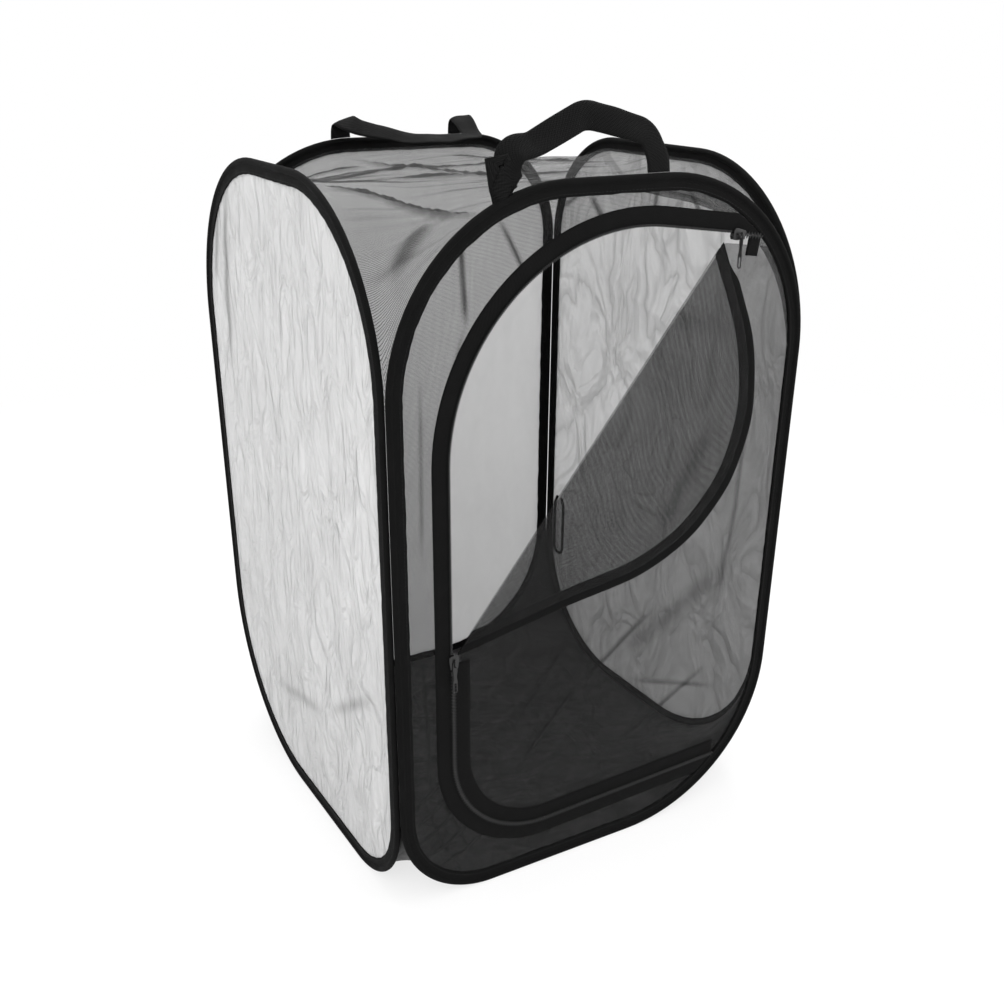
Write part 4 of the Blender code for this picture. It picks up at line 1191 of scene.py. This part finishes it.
def makePull(name, node, body, middle, height, lift, edgeOn):
    hole = slider["bridgeWide"] / 2 + slider["play"]
    halfWide = hole + slider["eyeBar"]
    eyeTop, high = lift - slider["eyeBar"] / 2, lift + slider["eyeBar"] / 2
    low = high - slider["pullLong"]
    neckTop, neckLow = high - slider["neckDrop"], low + slider["ringLong"] + slider["neckGap"]
    left = []
    for step in np.linspace(0, 1, 9):       # a slimmer neck between the eye and the ring
        z = neckTop + (neckLow - neckTop) * step
        left.append((-(halfWide - slider["neckSlim"] * math.sin(step * math.pi)), z))
    full = roundedOutline(2 * halfWide, low, high, (halfWide * 0.95,) * 4, 10)
    lowPart, highPart = full[full[:, 1] < neckLow], full[full[:, 1] > neckTop]
    lowLeft, lowRight = lowPart[lowPart[:, 0] < 0], lowPart[lowPart[:, 0] >= 0]
    highLeft, highRight = highPart[highPart[:, 0] < 0], highPart[highPart[:, 0] >= 0]
    right = [(-x, z) for x, z in left]
    outer = np.concatenate([lowLeft, lowRight, np.array(right[::-1]), highRight, highLeft, np.array(left)])
    eye = roundedOutline(2 * hole, eyeTop - slider["eyeLong"], eyeTop, (hole * 0.85,) * 4, 6)
    ring = roundedOutline(
        2 * hole, low + slider["eyeBar"], low + slider["ringLong"] - slider["eyeBar"], (hole * 0.95,) * 4, 8
    )
    turn = Matrix.Rotation(math.pi / 2, 4, "Y") if edgeOn else Matrix.Identity(4)
    toWorld = onZip(middle, (0, 1), height)
    mesh = plateFromLoops(name, [outer, eye, ring], slider["pullThick"], 0.00018, toWorld @ turn)
    piece = joinMeshes(name, [mesh], sliderEnamel)
    seatPiece(piece, body, node)


upperMiddle, upperBar, _ = makeSlider("upperSlider", "upper_slider", "upper_slider", upperRun, False, -1)
lowerMiddle, _, lowerTunnel = makeSlider("lowerSlider", "lower_slider", "lower_slider", lowerRun, True, 1)
eyeLift = slider["bridgeWide"] / 2 + slider["play"] + slider["eyeBar"] / 2
makePull("upperPull", "upper_slider_pull", "upper_pull", upperMiddle, upperBar, eyeLift, True)
makePull("lowerPull", "lower_slider_pull", "lower_pull", lowerMiddle, lowerTunnel, 0, False)
print("sliders made")


# Roof net and floor cloth, relaxed between the hoops' edges
relaxed = {
    "rim": 0.1939, "cells": 96, "roofDepth": 0.0075, "floorDepth": 0.003, "roofSag": 0.006,
    "floorLoad": 0.060, "rounds": 2600, "pivot": (-0.1959508, -0.1959508, 0.0), "keep": 0.123,
}


def seamDrop(distance, width, radii, depth):
    radius = np.where(distance > 0, radii[1], radii[0])
    over = np.abs(distance) - (width / 2 - radius)
    arc = radius - np.sqrt(np.maximum((radius - depth) ** 2 - over ** 2, 0))
    return np.where(over <= 0, depth, arc)


def rimHeights(x, y, radii, depth):
    width = cage["hoopWidth"]
    front = seamDrop(x, width, (radii[0], radii[1]), depth)
    back = seamDrop(x, width, (radii[3], radii[2]), depth)
    left = seamDrop(y, width, (radii[0], radii[3]), depth)
    right = seamDrop(y, width, (radii[1], radii[2]), depth)
    endwise = np.where(y < 0, front, back)
    sidewise = np.where(x < 0, left, right)
    return np.where(np.abs(y) > np.abs(x), endwise, sidewise)


# Starts as a blend of the rim and settles to the mean of its neighbours, less the load
def relaxedSheet(rim, load, floor):
    height = rim.copy()
    count = len(rim) - 1
    share = np.linspace(0, 1, count + 1)
    sides = rim[:, :1] * (1 - share) + rim[:, -1:] * share
    ends = rim[:1] * (1 - share[:, None]) + rim[-1:] * share[:, None]
    height[1:-1, 1:-1] = ((sides + ends) / 2)[1:-1, 1:-1]
    for _ in range(relaxed["rounds"]):
        mean = (height[:-2, 1:-1] + height[2:, 1:-1] + height[1:-1, :-2] + height[1:-1, 2:]) / 4
        height[1:-1, 1:-1] = np.maximum(mean - load, floor)
    return height


def gridSheet(name, height, material, thickness):
    count = len(height)
    places = np.linspace(-relaxed["rim"], relaxed["rim"], count)
    x, y = np.meshgrid(places, places)
    points = np.stack([x, y, height], 2).reshape(-1, 3)
    faces = []
    for row in range(count - 1):
        for column in range(count - 1):
            a = row * count + column
            faces.append((a, a + 1, a + count + 1, a + count))
    piece = meshObject(name, points, faces, material, points[:, :2])
    addThickness(piece, thickness)
    area = sum(polygon.area for polygon in piece.data.polygons)
    return piece, area


def finishSheet(piece, body, node):
    seatPiece(piece, body, node)
    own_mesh(piece)


places = np.linspace(-relaxed["rim"], relaxed["rim"], relaxed["cells"] + 1)
gridX, gridY = np.meshgrid(places, places)
rimFade = smooth((relaxed["rim"] - np.maximum(np.abs(gridX), np.abs(gridY))) / 0.03)

roofRim = hoopTop - rimHeights(gridX, gridY, cage["topRadii"], relaxed["roofDepth"])
roofHeight = relaxedSheet(roofRim, relaxed["roofSag"] / relaxed["cells"] ** 2, 0.0)
roofForm = ripple(gridX, gridY, 0.20, 0.030, 51) * 0.0016 + ripple(gridX, gridY, 0.12, 0.12, 52) * 0.0020
roofCreases = (
    ((-0.170, -0.025), (-0.090, -0.165), 0.0040, 0.80), ((-0.057, 0.175), (0.006, -0.022), 0.0040, 0.55),
    ((-0.110, 0.045), (0.105, -0.028), 0.0045, 0.55), ((-0.175, -0.165), (-0.120, -0.130), 0.0050, 0.60),
    ((-0.165, 0.060), (0.020, 0.100), 0.0035, 0.45), ((-0.150, 0.110), (0.120, 0.050), 0.0035, 0.45),
    ((-0.020, -0.050), (0.160, -0.090), 0.0040, 0.50), ((0.020, 0.150), (0.165, 0.020), 0.0040, 0.45),
    ((-0.030, -0.150), (0.130, -0.170), 0.0040, 0.45), ((-0.140, 0.150), (-0.050, 0.130), 0.0040, 0.50),
)
for start, end, wide, share in roofCreases:
    roofForm += crease(gridX, gridY, start, end, wide, share * 0.0060)
roofHeight = np.minimum(roofHeight + roofForm * rimFade, roofRim.max())
roofPiece, roofArea = gridSheet("roofNet", roofHeight, roofNet, 0.0004)
roofPleats = np.maximum(ripple(gridX, gridY, 0.30, 0.018, 54), 0) ** 2
roofBunch = bunched(gridX, gridY, roofCreases) + 0.35 * roofPleats
bunchAndShadeOn(roofPiece, (roofBunch * rimFade).ravel())
finishSheet(roofPiece, "roof", "roof_net")

floorRim = cage["sleeve"] + rimHeights(gridX, gridY, cage["bottomRadii"], relaxed["floorDepth"])
floorHeight = relaxedSheet(floorRim, relaxed["floorLoad"] / relaxed["cells"] ** 2, 0.0003)
floorForm = np.abs(ripple(gridX, gridY, 0.09, 0.07, 61)) * 0.0016
for k in range(-3, 4):              # the crossed folds of a cloth that was packed flat
    floorForm += crease(gridX, gridY, (-0.15, 0.045 * k - 0.10), (0.15, 0.045 * k + 0.10), 0.0035, 0.0022)
    floorForm += crease(gridX, gridY, (-0.15, 0.045 * k + 0.10), (0.15, 0.045 * k - 0.10), 0.0035, 0.0022)
floorHeight = floorHeight + floorForm * rimFade
floorPiece, floorArea = gridSheet("floorCloth", floorHeight, floorCoat, 0.0005)
finishSheet(floorPiece, "floor", "floor_cloth")
print("roof and floor made")


# Handles: flat webbing loops, each bent across to its own profile
handle = {
    "width": 0.0200, "thick": 0.0016, "lift": 0.0030, "station": 0.0018, "wave": 0.0012, "fallReach": 0.020,
    "endFade": 0.02,
}
handleShapes = {
    "front": {
        "middle": -0.032, "halfSpan": 0.066, "rise": 0.043,
        "radii": (0.020, 0.0135, 0.030, 0.024, 0.014, 0.030),
        "shares": ((-1.00, 0.00), (-1.03, 0.22), (-1.17, 0.48), (-0.62, 0.54), (0.10, 1.00), (0.91, 0.66),
                   (1.00, 0.24), (1.00, 0.00)),
        "twist": ((0.00, 0.0), (0.10, 0.0), (0.22, 0.30), (0.34, 0.45), (0.46, 0.10), (0.60, -0.15),
                  (0.85, 0.05), (1.0, 0.0)),
        "profile": ((0.000, 0.000), (-0.004, 0.018), (-0.011, 0.040), (-0.021, 0.064)),
    },
    "back": {
        "middle": -0.012, "halfSpan": 0.064, "rise": 0.070, "radii": (0.030, 0.013, 0.030, 0.020, 0.030),
        "twist": ((0.00, 0.0), (0.12, -0.35), (0.24, -0.10), (0.50, 0.15), (0.75, 0.10), (0.88, 0.40),
                  (1.0, 0.0)),
        "shares": ((-1.00, 0.00), (-1.00, 0.20), (-0.88, 0.97), (0.06, 1.00), (0.97, 0.49), (1.00, 0.20),
                   (1.00, 0.00)),
        "profile": ((0.0000, 0.0000), (0.0000, 0.0120), (-0.0030, 0.0175), (-0.0090, 0.0190),
                    (-0.0220, 0.0150), (-0.0360, 0.0085), (-0.0500, 0.0040), (-0.0640, 0.0018),
                    (-0.0800, 0.0010)),
    },
}


def smoothLine(points, steps):
    points = np.asarray(points, float)
    ends = np.vstack([2 * points[0] - points[1], points, 2 * points[-1] - points[-2]])
    out = []
    for a, b, c, d in zip(ends, ends[1:], ends[2:], ends[3:]):
        for t in np.arange(steps) / steps:
            square = (2 * a - 5 * b + 4 * c - d) * t ** 2 / 2
            cube = (3 * b - a - 3 * c + d) * t ** 3 / 2
            out.append(b + (c - a) * t / 2 + square + cube)
    out.append(points[-1])
    return np.array(out)


# Places and face directions along a profile, at distances along it
def bentTo(profile, distance):
    steps = np.linalg.norm(np.diff(profile, axis=0), axis=1)
    walked = np.concatenate([[0], np.cumsum(steps)])
    place = np.stack([np.interp(distance, walked, profile[:, k]) for k in (0, 1)], -1)
    ahead = np.stack([np.interp(distance + 0.0008, walked, profile[:, k]) for k in (0, 1)], -1)
    behind = np.stack([np.interp(distance - 0.0008, walked, profile[:, k]) for k in (0, 1)], -1)
    run = ahead - behind
    run /= np.linalg.norm(run, axis=-1)[..., None]
    return place, np.stack([run[..., 1], -run[..., 0]], -1)


def makeHandle(side):
    shape = handleShapes[side]
    corners = [(u * shape["halfSpan"], handle["lift"] + v * shape["rise"]) for u, v in shape["shares"]]
    points, tangents, walked = alongPath(filletedPath(corners, shape["radii"], 12), handle["station"])
    profile = smoothLine(shape["profile"], 8)
    seed = 71 if side == "front" else 73
    rings = []
    twistAt, twistBy = np.array(shape["twist"]).T
    # the hoop's line falls off towards its bends, and the sewn ends follow it down
    crest = hoopOutline(side)
    crest = crest[crest[:, 1] > hoopTop / 2]
    crest = crest[np.argsort(crest[:, 0])]
    for point, tangent, distance in zip(points, tangents, walked):
        right = np.array([tangent[1], -tangent[0]])
        fade = smooth(distance / handle["endFade"]) * smooth((walked[-1] - distance) / handle["endFade"])
        twist = float(np.interp(distance / walked[-1], twistAt, twistBy))
        ring = []
        for face in (1, -1):
            for k in np.linspace(-1, 1, 9) * face:
                # the band turns about its own middle line where it is twisted
                sideReach = k * handle["width"] / 2 * math.cos(twist)
                sideLift = k * handle["width"] / 2 * math.sin(twist)
                flat = point + right * sideReach
                place, normal = bentTo(profile, max(flat[1], 0))
                wave = ripple(np.array(distance), np.array(k * 0.01), 0.045, 0.03, seed, 4)
                wave = wave * handle["wave"] * fade
                off = face * handle["thick"] / 2 * (1 - 0.35 * abs(k) ** 8) + float(wave)
                across = flat[0] - right[0] * math.sin(twist) * off
                lift = off * math.cos(twist) + sideLift
                ring.append((across, place[1] + normal[1] * lift, place[0] + normal[0] * lift))
        ring = np.array(ring)
        fall = hoopTop - np.interp(shape["middle"] + ring[:, 0], crest[:, 0], crest[:, 1])
        fall = fall * (1 - smooth(np.maximum(ring[:, 1] - handle["lift"], 0) / handle["fallReach"]))
        rings.append(onWall(side, shape["middle"] + ring[:, 0], hoopTop + ring[:, 1] - fall, ring[:, 2]))
    piece = sweptStrip(side + "Handle", np.array(rings), webbing, False, 0.042)
    seatPiece(piece, side + "_handle", side + "_handle")


makeHandle("front")
makeHandle("back")

# The elastic tie on the right wall, beside the back post
tie = {
    "long": 0.072, "wide": 0.018, "radius": 0.0016, "height": 0.192, "rootShare": 0.5, "postGap": 0.005,
    "clothHalf": 0.0003, "seamGap": 0.0003, "station": 0.0012,
}
tieX = cage["hoopWidth"] / 2 - binding["reach"] - tie["postGap"] - tie["radius"] - tie["wide"] / 2
tieHalf = tie["wide"] / 2
turn = arcPoints((0, tieHalf - tie["long"]), tieHalf, 0, -math.pi, 12)
root = tieHalf * tie["rootShare"]
tieLine = np.concatenate([[(root, 0), (tieHalf, -tieHalf)], turn, [(-tieHalf, -tieHalf), (-root, 0)]])
tieFlat, tieTangents, tieWalked = alongPath(tieLine, tie["station"])
tieOut = -(tie["clothHalf"] + tie["seamGap"] + tie["radius"])
tieCentre = onWall("right", tieX + tieFlat[:, 0], tie["height"] + tieFlat[:, 1], tieOut)
rings = []
for centre, tangent in zip(tieFlat, tieTangents):
    normal = np.array([-tangent[1], tangent[0]])
    angles = np.linspace(0, 2 * math.pi, 13)[:-1]
    off = tie["radius"] * np.cos(angles)
    rings.append(
        onWall("right", tieX + centre[0] + normal[0] * off, tie["height"] + centre[1] + normal[1] * off,
               tieOut + tie["radius"] * np.sin(angles))
    )
tiePiece = sweptStrip("tieLoop", np.array(rings), webbing, False, 2 * math.pi * tie["radius"])
seatPiece(tiePiece, "right_wall", "tie_loop")
print("handles and tie made")


# Studio
studio = {
    "cameraPlace": (-0.5296, -0.9283, 0.6914), "yaw": 30.516, "pitch": 25.747, "roll": 0.433,
    "lens": 41.78, "shift": 0.09426, "worldLight": 1.0,
    "floorNear": 0.72, "floorFar": 1.0, "nearReach": 0.55, "farReach": 1.60,
    "lamps": (
        ("keyLamp", (-1.7, -1.9, 2.3), 1.8, 34), ("fillLamp", (2.1, -1.3, 1.5), 2.0, 20),
        ("topLamp", (0.4, 1.2, 2.8), 2.0, 38),
    ),
}


# 1 for rays that look, 0 for rays that light
def seenByEye(tree):
    path = addNode(tree, "LightPath").outputs
    glossy = calculate(tree, "MAXIMUM", path["Is Camera Ray"], path["Is Glossy Ray"])
    return calculate(tree, "MAXIMUM", glossy, path["Is Transmission Ray"])


world = bpy.data.worlds.new("studioWorld")
scene.world = world
world.use_nodes = True
world.node_tree.nodes.clear()
worldTree = world.node_tree
strength = stretchRange(worldTree, seenByEye(worldTree), 0.0, 1.0, studio["worldLight"], 1.0)
backdrop = addNode(worldTree, "Background", {"Color": grey(1.0), "Strength": strength}).outputs["Background"]
addNode(worldTree, "OutputWorld", {"Surface": backdrop})

ground, groundTree = newMaterial("paleFloor")
paint = addNode(groundTree, "BsdfDiffuse", {"Color": grey(0.92), "Roughness": 0.5}).outputs["BSDF"]
glow = addNode(groundTree, "Emission", {"Color": grey(1.0), "Strength": 1.0}).outputs["Emission"]
away = addNode(groundTree, "VectorMath", {0: objectPlace(groundTree)}, operation="LENGTH").outputs["Value"]
share = stretchRange(
    groundTree, away, studio["nearReach"], studio["farReach"], studio["floorNear"], studio["floorFar"]
)
share = calculate(groundTree, "MULTIPLY", seenByEye(groundTree), share)
mixed = addNode(groundTree, "MixShader", {"Fac": share, 1: paint, 2: glow}).outputs["Shader"]
finishMaterial(groundTree, mixed)
reach, drop = 6.0, -0.0004
studioFloor = meshObject(
    "studioFloor", [(-reach, -reach, drop), (reach, -reach, drop), (reach, reach, drop), (-reach, reach, drop)],
    [(0, 1, 2, 3)], ground, smoothShade=False,
)

for name, place, size, power in studio["lamps"]:
    lamp = bpy.data.lights.new(name, "AREA")
    lamp.size = size
    lamp.energy = power
    light = bpy.data.objects.new(name, lamp)
    light.location = place
    light.rotation_mode = "QUATERNION"
    light.rotation_quaternion = (Vector((0, 0, 0.3)) - Vector(place)).to_track_quat("-Z", "Y")
    scene.collection.objects.link(light)

camera = bpy.data.objects.new("camera", bpy.data.cameras.new("camera"))
scene.collection.objects.link(camera)
yaw, pitch, roll = [math.radians(studio[name]) for name in ("yaw", "pitch", "roll")]
looking = Vector((math.sin(yaw) * math.cos(pitch), math.cos(yaw) * math.cos(pitch), -math.sin(pitch)))
levelRight = Vector((math.cos(yaw), -math.sin(yaw), 0))
right = levelRight * math.cos(roll) + levelRight.cross(looking) * math.sin(roll)
camera.rotation_mode = "QUATERNION"
camera.rotation_quaternion = Matrix((right, right.cross(looking), -looking)).transposed().to_quaternion()
camera.location = studio["cameraPlace"]
camera.data.sensor_width = 36
camera.data.lens = studio["lens"]
camera.data.shift_y = studio["shift"]
camera.data.clip_start = 0.05
scene.camera = camera
scene.view_settings.view_transform = "Standard"

print("scene ready")
